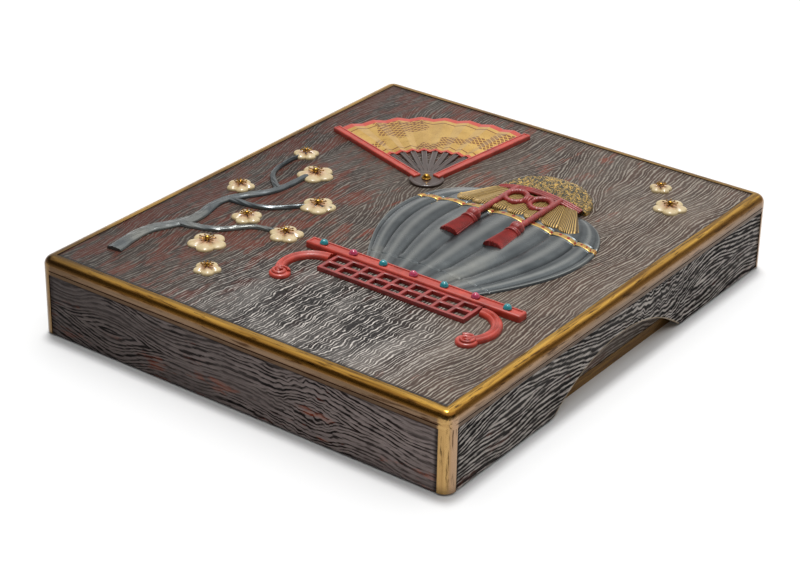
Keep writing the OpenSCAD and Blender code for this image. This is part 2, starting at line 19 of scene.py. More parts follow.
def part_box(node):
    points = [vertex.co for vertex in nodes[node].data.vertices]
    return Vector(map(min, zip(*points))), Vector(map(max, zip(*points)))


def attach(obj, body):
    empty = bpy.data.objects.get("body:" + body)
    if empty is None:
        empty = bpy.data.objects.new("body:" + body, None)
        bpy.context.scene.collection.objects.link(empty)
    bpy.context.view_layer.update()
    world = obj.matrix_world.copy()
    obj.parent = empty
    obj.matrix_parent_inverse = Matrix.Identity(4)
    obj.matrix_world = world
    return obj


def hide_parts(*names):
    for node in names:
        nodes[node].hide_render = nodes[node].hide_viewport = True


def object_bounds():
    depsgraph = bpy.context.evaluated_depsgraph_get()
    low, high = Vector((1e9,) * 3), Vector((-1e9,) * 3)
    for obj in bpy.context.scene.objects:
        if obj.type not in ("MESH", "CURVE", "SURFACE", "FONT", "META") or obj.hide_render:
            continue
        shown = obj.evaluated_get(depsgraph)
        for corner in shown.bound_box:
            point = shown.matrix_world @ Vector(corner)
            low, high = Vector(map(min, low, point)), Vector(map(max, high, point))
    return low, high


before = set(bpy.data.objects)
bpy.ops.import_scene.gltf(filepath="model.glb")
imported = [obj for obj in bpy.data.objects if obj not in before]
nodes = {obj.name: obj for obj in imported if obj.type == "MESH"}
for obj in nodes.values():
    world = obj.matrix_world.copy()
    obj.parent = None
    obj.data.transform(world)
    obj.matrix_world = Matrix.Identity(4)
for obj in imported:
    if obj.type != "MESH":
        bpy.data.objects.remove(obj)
cad_low, cad_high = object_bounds()
MM = 0.001
print("box in mm:", [round((b - a) / MM, 1) for a, b in zip(cad_low, cad_high)])

# %% [markdown]
# The camera stands where the photographer stood: a little above the near corner, with a long lens, so the
# far edges of the lid stay almost parallel to the near ones. The values were solved from the corners of the
# box in the picture. Blender wants the place in metres and the turn in radians.

# %% Camera
lens = bpy.data.cameras.new("camera")
lens.lens = 100.303
lens.sensor_width = 36.0
camera = bpy.data.objects.new("camera", lens)
camera.location = (0.75898, -1.06365, 0.69426)
camera.rotation_euler = [radians(a) for a in (62.1186, -1.0229, 36.4827)]
bpy.context.scene.collection.objects.link(camera)
bpy.context.scene.camera = camera
bpy.context.scene.view_settings.view_transform = "Standard"
print("camera stands", round(camera.location.length, 2), "m from the middle of the box")

# %% [markdown]
# Colours are written as sRGB hex values, the way a paint chart gives them, but a shader counts in linear
# light. One function turns the first into the second. A second function adds one shader node and fills its
# sockets: a number is set as it is, a hex colour is turned to linear, and a node is linked. Most nodes take
# their values in the order of their sockets, and a few read better with the sockets named.

# %% Colour and node helpers
SMOOTH = {"interpolation_type": "SMOOTHSTEP"}
COLOUR = {"data_type": "RGBA"}


def linear(code):
    """Linear red, green, blue and alpha of an sRGB hex colour."""
    parts = [int(code[i:i + 2], 16) / 255 for i in (1, 3, 5)]
    return tuple(c / 12.92 if c <= 0.04045 else ((c + 0.055) / 1.055) ** 2.4 for c in parts) + (1.0,)


def add_node(tree, kind, *values, **settings):
    """Adds a node of this kind with its settings, or takes one that is there, and fills its sockets."""
    made = tree.nodes.new("ShaderNode" + kind) if isinstance(kind, str) else kind
    for key, value in settings.items():
        setattr(made, key, value)
    sockets = [s for s in made.inputs if s.enabled]
    filled = list(zip(sockets, values))
    if values and isinstance(values[0], dict):
        filled = [(next(s for s in sockets if s.name == key), value) for key, value in values[0].items()]
    for socket, value in filled:
        if isinstance(value, bpy.types.Node):
            value = next(s for s in value.outputs if s.enabled)
        if isinstance(value, bpy.types.NodeSocket):
            tree.links.new(value, socket)
        else:
            socket.default_value = linear(value) if isinstance(value, str) else value
    return made


def new_finish(name):
    """An empty material, the function that adds nodes to it, and its surface shader."""
    finish = bpy.data.materials.new(name)
    finish.use_nodes = True
    tree = finish.node_tree
    return finish, partial(add_node, tree), tree.nodes["Principled BSDF"]


print("gold on the chart, in linear light:", [round(c, 3) for c in linear("#b58d45")[:3]])

# %% [markdown]
# The box stands on white paper, dull and without gloss, so that it shows only the shadow. It lies a tenth of
# a millimetre below the box, because two faces in one plane would flicker.

# %% White table
bm = bmesh.new()
bmesh.ops.create_grid(bm, x_segments=2, y_segments=2, size=30)
bmesh.ops.translate(bm, vec=(0, 0, -0.1 * MM), verts=bm.verts)
table_mesh = bpy.data.meshes.new("table")
bm.to_mesh(table_mesh)
bm.free()
table = bpy.data.objects.new("table", table_mesh)
bpy.context.scene.collection.objects.link(table)
table_paper, add, surface = new_finish("white_table")
add(surface, {"Base Color": "#e8e8e8", "Roughness": 0.9, "Specular IOR Level": 0.0})
table_mesh.materials.append(table_paper)
print("table", round(table.dimensions.x), "m wide")

# %% [markdown]
# A small lamp almost overhead casts the tight shadow and the spark on the near corner. It is a sun, since a
# sun lights the whole table evenly.

# %% Key lamp
KEY_FROM = Vector((-0.105, 0.14, 0.985))
key = bpy.data.lights.new("key", "SUN")
key.energy = 2.0
key.angle = radians(11)
lamp = bpy.data.objects.new("key", key)
lamp.rotation_euler = KEY_FROM.to_track_quat("Z", "Y").to_euler()
bpy.context.scene.collection.objects.link(lamp)
print("key lamp stands", round(90 - degrees(KEY_FROM.angle((0, 0, 1)))), "degrees above the table")

# %% [markdown]
# A broad soft light fills the rest. It is painted on the sky, since area lamps would show as squares in the
# gold. The paper sweeps up pale at the foot of the sky, and a pale wall stands behind the box, brighter to
# the left. Between them and the broad light the sky is dark: polished mouldings need that dark ring to look
# like metal.

# %% Painted sky
SOFT_FROM = Vector((0.0, 0.2, 0.98)).normalized()
SOFT_POWER, RING_POWER, SWEEP_POWER, WALL_POWER = 1.25, 0.05, 0.5, 0.55
world = bpy.data.worlds.new("studio")
bpy.context.scene.world = world
world.use_nodes = True
add = partial(add_node, world.node_tree)
toward = add("TexCoord").outputs["Generated"]
right, behind, rise = add("SeparateXYZ", toward).outputs
facing = add("VectorMath", toward, SOFT_FROM, operation="DOT_PRODUCT")
disc = add("MapRange", facing, 0.6, 0.8, **SMOOTH)
above = add("MapRange", rise, 0.48, 0.7, **SMOOTH)
soft = add("Math", disc, above, operation="MULTIPLY")
sweep = add("MapRange", rise, 0.45, 0.1, RING_POWER, SWEEP_POWER, **SMOOTH)
wall = add("MapRange", behind, 0.2, 0.6, **SMOOTH)
wall_top = add("MapRange", rise, 0.8, 0.6, **SMOOTH)
wall_end = add("MapRange", right, 0.95, -0.2)
wall = add("Math", wall, wall_top, operation="MULTIPLY")
wall = add("Math", wall, wall_end, operation="MULTIPLY")
power = add("Math", soft, SOFT_POWER, sweep, operation="MULTIPLY_ADD")
power = add("Math", wall, WALL_POWER, power, operation="MULTIPLY_ADD")
add(world.node_tree.nodes["Background"], {"Color": "#ffffff", "Strength": power})
print("sky painted with", len(world.node_tree.nodes), "nodes")

# %% [markdown]
# The boards are cedar, scorched and brushed with straw. The soft wood between the rings wears away and stays
# dark, and the hard rings stand up as pale grey ridges. A photograph of wood would be the usual shortcut.
# Here the grain is worked out instead, so that each board has its own cut. A cut is a set of sizes in
# millimetres and of shares. This is the usual one, and each board changes what it needs.

# %% The usual cut of cedar
X, Y, Z = 0, 1, 2
USUAL_CUT = {
    "ring": 2.4,  # from ridge to ridge
    "wave": 8,  # how far slow waves shift whole bundles of rings
    "ripple": 0.0,  # how far every ring is feathered
    "curl": (0, 0, 1, 0, 0),  # curled grain: its place along and across, radius, depth, and share of painted highlight and shade
    "line": (-0.4, 1.4),  # ridge heights where the wood is all dark and all pale
    "heart": "#54200f",  # red heartwood
    "glow": 0.3,  # how much of it shows in its streaks
    "calm": 0.0,  # how far the rings fade in calm places
    "dash": 6,  # length of the dashes that the brush leaves
    "shade": (X, -150, 150, 1.0, 1.0),  # axis, start and stop of a painted shade, and its light at both
    "torn": (3.2, 3.2),  # how torn the ridges are at the same start and stop
    "seam": (200, 200),  # half length and half width of the board between its mouldings
    "soot": (0.95, 0.95),  # how dark the painted shade in the seam is at the start of the board, and along the rest
    "arch": None,  # top and radius of the finger notch
    "inside": "inward",  # the face with dark lacquer: inward, above or below
    "seed": 1.0,  # another number gives another tree
}
print("a cut has", len(USUAL_CUT), "values, and hearts and colours of its own")

# %% [markdown]
# Grain is noise drawn out in one direction. One helper makes it for wood and gold, from real sizes along the
# three axes. On a board the third axis carries the seed, and a size of one metre leaves that as it is.

# %% Drawn-out noise
SEED_SIZE = 1000


def drawn_noise(add, where, sizes, detail, roughness=0.5, shift=(0, 0, 0)):
    """Noise with a size of its own, in mm, along each of three axes."""
    scales = [1 / (size * MM) for size in sizes]
    drawn = add("Mapping", {"Vector": where, "Location": shift, "Scale": scales})
    return add("TexNoise", drawn, 1.0, detail, roughness)


print("one metre scales the seed by", 1 / (SEED_SIZE * MM))

# %% [markdown]
# On a board sawn flat, the rings are lines along its length. Slow waves shift whole bundles of them, a wander
# shakes each one, and in one place they may curl like feathers. All three bend only the place across the
# board that the rings are counted by, so no ring ever ends in the middle of the wood.

# %% Bent grain
WANDER = 5.5


def bend_grain(add, grain, cut):
    """Bends the place across the board, and keeps the wander and the curled spot."""
    sway = drawn_noise(add, grain.flow, (105, 170, SEED_SIZE), 1.0)
    grain.wander = drawn_noise(add, grain.flow, (30, 13, SEED_SIZE), 2.0)
    feather = drawn_noise(add, grain.flow, (6, 13, SEED_SIZE), 1.0, shift=(1, 4, 2))
    along, across, radius, depth, _ = cut.curl
    off = add("VectorMath", grain.flow, (along * MM, across * MM, cut.seed), operation="DISTANCE")
    grain.curled = add("MapRange", off, radius * MM, 0.3 * radius * MM, **SMOOTH)
    deep = add("Math", grain.curled, depth * MM, cut.ripple * MM, operation="MULTIPLY_ADD")
    bent = add("Math", sway, cut.wave * MM, grain.across, operation="MULTIPLY_ADD")
    bent = add("Math", grain.wander, WANDER * MM, bent, operation="MULTIPLY_ADD")
    bent = add("Math", feather, deep, bent, operation="MULTIPLY_ADD")
    grain.bent = add("Math", bent, (cut.wave + WANDER) / 2 * MM, operation="SUBTRACT")


print("rings wander by", WANDER, "mm")

# %% [markdown]
# The rings lie on both sides of a heart, the line where the saw came nearest to the middle of the trunk, and
# they swell round a few long eyes. So the distance from the heart is measured, a bell curve draws it in
# beside each eye, and a sine cuts it into ridges and hollows. A slower sine makes good and lean years: it
# widens and narrows the rings by about a third. Another one makes some of them faint.

# %% Rings round hearts and eyes
BELL_BASE = 1 / 2.718
YEARS_BEAT, YEARS_SHIFT, LEAN_BEAT = 0.21, 1.4, 0.41


def count_rings(add, grain, cut):
    """Rounded ridges round the hearts. A heart is its place across and its eyes: place, swell, length."""
    distance = None
    for middle, eyes in cut.hearts:
        off = add("Math", grain.bent, middle * MM, operation="SUBTRACT")
        off = add("Math", off, operation="ABSOLUTE")
        for place, swell, length in eyes:
            beside = add("Math", grain.along, place * MM, operation="SUBTRACT")
            beside = add("Math", beside, length * MM, operation="DIVIDE")
            beside = add("Math", beside, beside, operation="MULTIPLY")
            bell = add("Math", BELL_BASE, beside, operation="POWER")
            off = add("Math", bell, -swell * MM, off, operation="MULTIPLY_ADD")
        if distance is None:
            distance = off
        else:
            distance = add("Math", distance, off, 1 * MM, operation="SMOOTH_MIN")
    phase = add("Math", distance, 2 * pi / (cut.ring * MM), operation="MULTIPLY")
    years = add("Math", phase, YEARS_BEAT, operation="MULTIPLY")
    years = add("Math", years, operation="SINE")
    phase = add("Math", years, YEARS_SHIFT, phase, operation="MULTIPLY_ADD")
    lean = add("Math", phase, LEAN_BEAT, operation="MULTIPLY")
    grain.lean = add("Math", lean, operation="SINE")
    grain.ridge = add("Math", phase, operation="SINE")


print("good years are wider by", round(YEARS_BEAT * YEARS_SHIFT, 2), "of a ring")

# %% [markdown]
# The brush frays the ridges. Fibres under a millimetre wide roughen them, and wider tears break them into
# dashes, more so on a side that many hands have rubbed. Curled grain gets thinner crests, for painted shade
# between them. In calm places the rings hardly show at all.

# %% Frayed ridges
FIBRE_L, FIBRE_W, TEAR_W = 9, 0.8, 2.6


def fray_ridges(add, grain, cut):
    """How pale the wood is, from hollow to crest, its fibres, and the painted highlight of curled grain."""
    grain.fibre = drawn_noise(add, grain.flow, (FIBRE_L, FIBRE_W, SEED_SIZE), 3.0, 0.6)
    dashes = drawn_noise(add, grain.flow, (cut.dash, TEAR_W, SEED_SIZE), 2.0, shift=(2, 8, 1))
    dashes = add("Math", dashes, 0.5, operation="SUBTRACT")
    _, start, stop, _, _ = cut.shade
    tear = add("MapRange", grain.shaded, start * MM, stop * MM, *cut.torn)
    frayed = add("Math", dashes, tear, operation="MULTIPLY")
    rough = add("Math", grain.fibre, 0.5, operation="SUBTRACT")
    frayed = add("Math", rough, 3.6, frayed, operation="MULTIPLY_ADD")
    frayed = add("Math", grain.ridge, frayed, operation="ADD")
    frayed = add("Math", grain.lean, 0.35, frayed, operation="MULTIPLY_ADD")
    # share of painted highlight and shade in curled grain
    grain.shine = add("Math", grain.curled, cut.curl[-1], operation="MULTIPLY")
    frayed = add("Math", grain.shine, -0.4, frayed, operation="MULTIPLY_ADD")
    crest = add("MapRange", frayed, *cut.line, **SMOOTH)
    calm = drawn_noise(add, grain.flow, (75, 26, SEED_SIZE), 2.0, shift=(5, 2, 6))
    calm = add("MapRange", calm, 0.46, 0.6, 0, cut.calm)
    grain.crest = add("Mix", calm, crest, 0.62)


print("fibres", FIBRE_W, "mm wide, tears", TEAR_W, "mm wide")

# %% [markdown]
# Scorched soft wood is almost black, and the brushed ridges are ash grey. Rubbed streaks show the reddish
# heartwood, more of them low on an upright board and to the left on a flat one. Curled grain gets a painted
# highlight on its crests and painted shade between them. Last, a painted gradient of light and shade makes
# one side of a board darker than the other.

# %% Colours of cedar
RED_DOWN, RED_ASIDE = -2.6, -0.8


def cedar_colour(add, grain, cut):
    """Dark soft wood under pale ridges, with red streaks, a painted highlight on curled grain and a painted
    shade along the board.
    """
    blush = drawn_noise(add, grain.flow, (34, 8, SEED_SIZE), 5.0, 0.7, (3, 7, 0))
    blush = add("Math", grain.across, grain.redder, blush, operation="MULTIPLY_ADD")
    red = add("MapRange", blush, 0.53, 0.64, 0, cut.glow, **SMOOTH)
    drift = add("MapRange", grain.wander, 0.3, 0.7)
    soft_wood = add("Mix", drift, *cut.ground, **COLOUR)
    soft_wood = add("Mix", red, soft_wood, cut.heart, **COLOUR)
    # curled grain: painted shade between its crests, and below a painted highlight on them
    soft_wood = add("Mix", grain.shine, soft_wood, "#0a0604", **COLOUR)
    tint = add("Math", red, 0.5, operation="MULTIPLY")
    hard_wood = add("Mix", grain.fibre, *cut.ash, **COLOUR)
    hard_wood = add("Mix", tint, hard_wood, "#7d4630", **COLOUR)
    hard_wood = add("Mix", grain.shine, hard_wood, "#efe6dd", **COLOUR)
    wood = add("Mix", grain.crest, soft_wood, hard_wood, **COLOUR)
    # painted light and shade: one side or end of the board lighter than the other
    _, start, stop, *light = cut.shade
    shade = add("MapRange", grain.shaded, start * MM, stop * MM, *light)
    return add("Mix", 1.0, wood, shade, **COLOUR, blend_type="MULTIPLY")


print("heartwood in linear light:", [round(c, 3) for c in linear(USUAL_CUT["heart"])[:3]])

# %% [markdown]
# Where a board meets its gold mouldings it lies a little lower, so the seam is drawn as a dark line of
# painted shade. It is wider across the ends of a board, and at the start of the board it may be darker or
# paler than along the rest. The edge of the finger notch is the opposite: hands have rubbed it pale.

# %% Seams and notch
SEAM_W, END_SHARE = 1.7, 0.42


def age_edges(add, grain, cut, wood):
    """Paints shade into the seams of a board and pales the edge of its finger notch."""
    half_length, half_width = (size * MM for size in cut.seam)
    from_end = add("Math", grain.along, operation="ABSOLUTE")
    from_end = add("Math", half_length, from_end, operation="SUBTRACT")
    from_end = add("Math", from_end, END_SHARE, operation="MULTIPLY")
    from_side = add("Math", grain.across, operation="ABSOLUTE")
    from_side = add("Math", half_width, from_side, operation="SUBTRACT")
    gap = add("Math", from_end, from_side, operation="MINIMUM")
    soot = add("MapRange", grain.along, 2 * MM - half_length, 14 * MM - half_length, *cut.soot)
    # painted shade along the seam, mixed towards near black
    seam_shade = add("MapRange", gap, 0.5 * MM, SEAM_W * MM, soot, 0.0, **SMOOTH)
    wood = add("Mix", seam_shade, wood, "#120a06", **COLOUR)
    if cut.arch is None:
        return wood
    top, radius = cut.arch
    fall = add("Math", grain.across, (top - radius) * MM, operation="SUBTRACT")
    spoke = add("VectorMath", add("CombineXYZ", grain.along, fall), operation="LENGTH")
    edge = add("Math", spoke, radius * MM, operation="SUBTRACT")
    edge = add("Math", edge, operation="ABSOLUTE")
    edge = add("MapRange", edge, 0.3 * MM, 1.0 * MM, 0.7, 0.0)
    return add("Mix", edge, wood, "#a8967f", **COLOUR)


print("seams darken within", round(SEAM_W / END_SHARE, 1), "mm of an end and", SEAM_W, "mm of a side")

# %% [markdown]
# The inside of such a box is closed with dark lacquer and sprinkled with gold flecks. Inner and outer face
# belong to one board, so the finish tells them apart by where a face looks: towards the middle of the box,
# up or down. Voronoi cells give the flecks, because each has one round spot in its middle. Real flecks are
# finer. They are drawn this coarse so that they show.

# %% Lacquer inside
FLECK_STEP = 1.6


def inner_lacquer(add, spot, inside):
    """Whether a face is an inner one, and the colour of its lacquer."""
    flecks = add("TexVoronoi", spot, 1 / (FLECK_STEP * MM))
    fleck = add("MapRange", flecks, 0.16, 0.24, 0.8, 0.0)
    lacquer = add("Mix", fleck, "#241a14", "#a9782e", **COLOUR)
    face = add("NewGeometry").outputs["Normal"]
    if inside == "inward":
        level = add("VectorMath", spot, (1, 1, 0), operation="MULTIPLY")
        looks = add("VectorMath", face, level, operation="DOT_PRODUCT")
        return add("Math", looks, -0.05, operation="LESS_THAN"), lacquer
    up = add("SeparateXYZ", face).outputs["Z"]
    looks = add("Math", up, 1 if inside == "above" else -1, operation="MULTIPLY")
    return add("Math", looks, 0.5, operation="GREATER_THAN"), lacquer


print("gold flecks", FLECK_STEP, "mm apart")

# %% [markdown]
# Now the steps come together. Brushed wood hardly mirrors anything, so its specular level is low, and its
# crests are a little smoother than its hollows. The ridges are about half a millimetre high. They are a
# bump and not geometry, because the boards keep their construction shape.

# %% Brushed cedar
def brushed_cedar(name, along, across, **own):
    """Brushed cedar with its rings along one axis and a cut of its own."""
    finish, add, surface = new_finish(name)
    cut = SimpleNamespace(**{**USUAL_CUT, **own})
    spot = add("TexCoord").outputs["Object"]
    axes = add("SeparateXYZ", spot).outputs
    grain = SimpleNamespace(along=axes[along], across=axes[across], shaded=axes[cut.shade[0]])
    grain.flow = add("CombineXYZ", grain.along, grain.across, cut.seed)
    grain.redder = RED_DOWN if across == Z else RED_ASIDE
    bend_grain(add, grain, cut)
    count_rings(add, grain, cut)
    fray_ridges(add, grain, cut)
    wood = age_edges(add, grain, cut, cedar_colour(add, grain, cut))
    within, lacquer = inner_lacquer(add, spot, cut.inside)
    colour = add("Mix", within, wood, lacquer, **COLOUR)
    polish = add("MapRange", grain.crest, 0, 1, 0.6, 0.3)
    gloss = add("Mix", within, polish, 0.25)
    height = add("Math", grain.ridge, 0.5, grain.fibre, operation="MULTIPLY_ADD")
    height = add("Mix", within, height, 0.0)
    bump = add("Bump", {"Height": height, "Distance": 0.4 * MM, "Strength": 1.0})
    add(surface, {"Base Color": colour, "Roughness": gloss, "Normal": bump, "IOR": 1.5})
    add(surface, {"Specular IOR Level": 0.3 if cut.inside == "below" else 0.05})
    print(name, "has", len(finish.node_tree.nodes), "nodes")
    return finish


# %% [markdown]
# The lid shows three cuts. The top board has wide waves round three hearts, feathered grain with a painted
# highlight along its front, and a left side in painted shade that hands have worn into short dashes. The
# front is dark and calm, with painted light towards its right end, and the long sides have wide and even
# rings above the finger notch.

# %% Cedar of the lid
top_cedar = brushed_cedar(
    "cedar_top", Y, X, ground=("#33231a", "#503d32"), ash=("#6d6459", "#a89e90"), heart="#7a3219", glow=0.95,
    hearts=[(-104, [(100, 24, 55), (-95, 9, 40)]), (28, [(62, 26, 60)]), (112, [(44, 8, 24)])],
    ring=2.2, wave=34, ripple=1.8, curl=(-150, 25, 115, 3.2, 0.95), line=(-0.25, 1.5), calm=0.25, dash=5,
    shade=(X, -140, 120, 0.33, 1.08), torn=(3.4, 1.2), seam=(178, 151), soot=(0.95, 0.3), inside="below",
    seed=0.37,
)
front_cedar = brushed_cedar(
    "cedar_front", X, Z, ground=("#050303", "#120c0a"), ash=("#48403e", "#6b615e"), glow=0.75,
    hearts=[(20, [(-100, 10, 28), (60, 7, 24)])], ring=2.6, wave=44, curl=(50, 18, 45, 5, 0),
    line=(-1.1, 0.5), calm=0.6, shade=(X, -150, 150, 0.85, 2.3), seam=(151, 43.5), soot=(0.4, 0.8), seed=5.3,
)
right_cedar = brushed_cedar(
    "cedar_right", Y, Z, ground=("#040202", "#0e0908"), ash=("#5d5652", "#cdc4bc"), glow=0.4,
    hearts=[(24, [(-118, 7, 42), (112, 7, 30)])], ring=2.9, wave=26, curl=(45, 30, 70, 6, 0),
    line=(-0.45, 1.3), calm=0.1, shade=(Y, -180, 180, 1.0, 0.95), seam=(178, 43.5), soot=(0.85, 0.4),
    arch=(27.2, 119.7), seed=8.6,
)

# %% [markdown]
# The lower box is of plainer wood from one trunk, so its sides share a cut and differ only in their length
# and seed. The bottom board has the widest rings, and its lacquered face looks up.

# %% Cedar of the lower box
PLAIN = {
    "ground": ("#261d18", "#3d3128"), "ash": ("#6f665f", "#948a81"),
    "hearts": [(25, [(-90, 6, 40), (60, 5, 50)])], "ring": 2.6, "wave": 26, "calm": 0.4,
}
inner_cedar = brushed_cedar("cedar_inner", Y, Z, **PLAIN, seam=(172, 60), seed=2.2)
end_cedar = brushed_cedar("cedar_inner_end", X, Z, **PLAIN, seam=(145, 60), seed=3.4)
floor_cedar = brushed_cedar(
    "cedar_floor", Y, X, ground=("#2a2019", "#392c23"), ash=("#4d453e", "#6b6156"),
    hearts=[(40, [(-60, 12, 60)])], ring=3.0, wave=18, line=(-0.5, 0.5), inside="above", seed=4.1,
)

# %% [markdown]
# The mouldings are wood, closed with dark lacquer and dusted with gold powder while it was wet, then
# polished. Gold powder is a metal, so it mirrors the bright sky on top, the dark room in its middle and the
# white table below. Brush strokes run along each strip. Real ones are finer than these, which are 2 mm wide
# so that they show. The finish also needs to know where on the lid it is, because hands wear some places more
# than others and painted shade lies in the seams: first everything that it reads is measured.

# %% Measure a gold strip
EDGE_LOW, EDGE_TOP = (round(corner.z / MM, 2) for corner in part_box("lid_edge_front"))
BOARD_HALF = (-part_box("lid_edge_left")[1].x, -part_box("lid_edge_front")[1].y, 0)


def measure_strip(add, along):
    """Strokes and specks of a strip, where its face looks, and its place on the lid."""
    spot = add("TexCoord").outputs["Object"]
    stroke, rub = [2.0] * 3, [1.6] * 3
    stroke[along], rub[along] = 60, 18
    streak = drawn_noise(add, spot, stroke, 2.0)
    speck = drawn_noise(add, spot, rub, 5.0, 0.65)
    tone = add("MapRange", streak, 0.3, 0.7)
    _, sideways, up = add("SeparateXYZ", add("NewGeometry").outputs["Normal"]).outputs
    ahead = add("Math", sideways, operation="ABSOLUTE")
    # how far a face looks to the front or back: the tan starts lower there and painted shade is stronger
    fore = add("MapRange", ahead, 0.3, 0.9, 0, 0.42)
    mirrored = add("VectorMath", spot, operation="ABSOLUTE")
    outside = add("VectorMath", mirrored, BOARD_HALF, operation="SUBTRACT")
    out_x, out_y, height = add("SeparateXYZ", outside).outputs
    corner = add("Math", out_x, out_y, operation="MINIMUM")
    corner = add("MapRange", corner, -1.5 * MM, 0.5 * MM)
    return SimpleNamespace(
        spot=spot, streak=streak, speck=speck, tone=tone, up=up, ahead=ahead, fore=fore,
        out_x=out_x, out_y=out_y, height=height, corner=corner,
    )


print("the edging reaches from", EDGE_LOW, "to", EDGE_TOP, "mm")

# %% [markdown]
# The upright faces, where fingers grip the lid, are rubbed to a dull tan. On faces that look to the front or
# back the tan starts lower and is darker with painted shade. It darkens downwards between the posts, and the
# bead under the fine groove is darkest. The posts and the moulding above them stay pale.

# %% Rubbed faces
def rubbed_tan(add, strip, rubbed):
    """Colour of the rubbed faces, and how much of it shows."""
    start = add("Math", strip.fore, -0.43, 0.6, operation="MULTIPLY_ADD")
    full = add("Math", strip.fore, -0.29, 0.25, operation="MULTIPLY_ADD")
    upright = add("MapRange", strip.up, start, full, 0, 1.2 * rubbed, **SMOOTH)
    kept = add("MapRange", strip.ahead, 0.4, 0.8, 0, 0.85, **SMOOTH)
    kept = add("Math", kept, strip.corner, operation="MULTIPLY")
    bare = add("Math", 1.0, kept, operation="SUBTRACT")
    upright = add("Math", upright, bare, operation="MULTIPLY")
    tan = add("Mix", strip.tone, "#7a634b", "#9a7e64", **COLOUR)
    tan = add("Mix", strip.corner, tan, "#a88a6e", **COLOUR)
    between = add("Math", 1.0, strip.corner, operation="SUBTRACT")
    lower = add("MapRange", strip.height, (EDGE_LOW + 6) * MM, (EDGE_LOW + 4) * MM, 0, 0.45)
    # faces that look to the front or back get painted shade
    lower = add("Math", lower, strip.fore, operation="MAXIMUM")
    lower = add("Math", lower, between, operation="MULTIPLY")
    tan = add("Mix", lower, tan, "#44362a", **COLOUR)
    bead = add("MapRange", strip.height, (EDGE_LOW + 2.9) * MM, (EDGE_LOW + 2.3) * MM, 0, 1.4)
    bead = add("Math", bead, lower, operation="MULTIPLY")
    return add("Mix", bead, tan, "#2c1f15", **COLOUR), upright


print("the bead is below", EDGE_LOW + 2.3, "mm")

# %% [markdown]
# Painted shade turns the gold brown where it lies deep: beside the board, in the fine groove and under the
# bead, most on faces that look to the front or back. Every one is a distance, and the smallest of them draws
# all three lines at once.

# %% Painted shade in the seams
GROOVE_UP = 2.6


def fill_seams(add, strip, gold):
    """Paints brown shade beside the board, in the groove and under the bead."""
    beside = add("Math", strip.out_x, strip.out_y, operation="MAXIMUM")
    beside = add("Math", beside, operation="ABSOLUTE")
    below_top = add("Math", (EDGE_TOP - 1.5) * MM, strip.height, operation="SUBTRACT")
    beside = add("Math", beside, below_top, operation="MAXIMUM")
    groove = add("Math", strip.height, (EDGE_LOW + GROOVE_UP) * MM, operation="SUBTRACT")
    under = add("Math", groove, GROOVE_UP * MM, operation="ADD")
    under = add("Math", under, operation="ABSOLUTE")
    groove = add("Math", groove, operation="ABSOLUTE")
    groove = add("Math", groove, 0.3 * MM, operation="SUBTRACT")
    low = add("Math", groove, under, operation="MINIMUM")
    low = add("Math", strip.corner, 1 * MM, low, operation="MULTIPLY_ADD")
    gap = add("Math", beside, low, operation="MINIMUM")
    most = add("Math", strip.fore, 1.3, 0.1, operation="MULTIPLY_ADD")
    # painted shade in the recesses, strongest on faces that look to the front or back
    seam_shade = add("MapRange", gap, 0.1 * MM, 0.5 * MM, most, 0.0)
    return add("Mix", seam_shade, gold, "#452a17", **COLOUR)


print("the groove runs at", EDGE_LOW + GROOVE_UP, "mm")

# %% [markdown]
# One finish serves all strips, with its strokes turned along each. On the rounded shoulder the gold is thin,
# and the brown lacquer under it shines through as amber. Specks of the ground show where it is worn, and near
# one corner of the lid the gold turns dark brown.

# %% Gold lacquer
DARK_CORNER = (cad_low[X], cad_low[Y], 25 * MM)


def gold_lacquer(name, along, powder, rubbed=0.0):
    """Polished gold powder on brown lacquer, its strokes along one axis, its upright faces rubbed dull."""
    finish, add, surface = new_finish(name)
    strip = measure_strip(add, along)
    gold = add("Mix", strip.tone, *powder, **COLOUR)
    thin = add("MapRange", strip.up, 0.95, 0.72, 0, 0.3 + 0.7 * rubbed, **SMOOTH)
    gold = add("Mix", thin, gold, "#7d521d", **COLOUR)
    pale = add("MapRange", strip.up, 0.6, 0.3)
    pale = add("Math", pale, strip.corner, operation="MULTIPLY")
    post = add("Mix", strip.tone, "#a07c47", "#c09c60", **COLOUR)
    gold = add("Mix", pale, gold, post, **COLOUR)
    tan, upright = rubbed_tan(add, strip, rubbed)
    gold = add("Mix", upright, gold, tan, **COLOUR)
    worn = add("MapRange", strip.speck, 0.54, 0.64, 0, 0.85)
    gold = add("Mix", worn, gold, "#3a2109", **COLOUR)
    gold = fill_seams(add, strip, gold)
    ragged = add("Math", strip.speck, 60 * MM, -30 * MM, operation="MULTIPLY_ADD")
    # darker towards one near corner of the lid, with a ragged edge
    corner_dark = add("VectorMath", strip.spot, DARK_CORNER, operation="DISTANCE")
    corner_dark = add("Math", ragged, corner_dark, operation="ADD")
    corner_dark = add("MapRange", corner_dark, 15 * MM, 85 * MM, 0.7, 0.0, **SMOOTH)
    gold = add("Mix", corner_dark, gold, "#4a3620", **COLOUR)
    dull = add("MapRange", strip.streak, 0.3, 0.7, 0.16, 0.26)
    add(surface, {"Base Color": gold, "Roughness": dull, "Metallic": 0.92})
    print(name, "has", len(finish.node_tree.nodes), "nodes")
    return finish


# %% [markdown]
# Three mixes of powder are used: a bright one on the long strips and the posts of the lid and on the beads of
# the picture, a warmer one on the short strips, and a deeper one on the lower box, which was never rubbed.

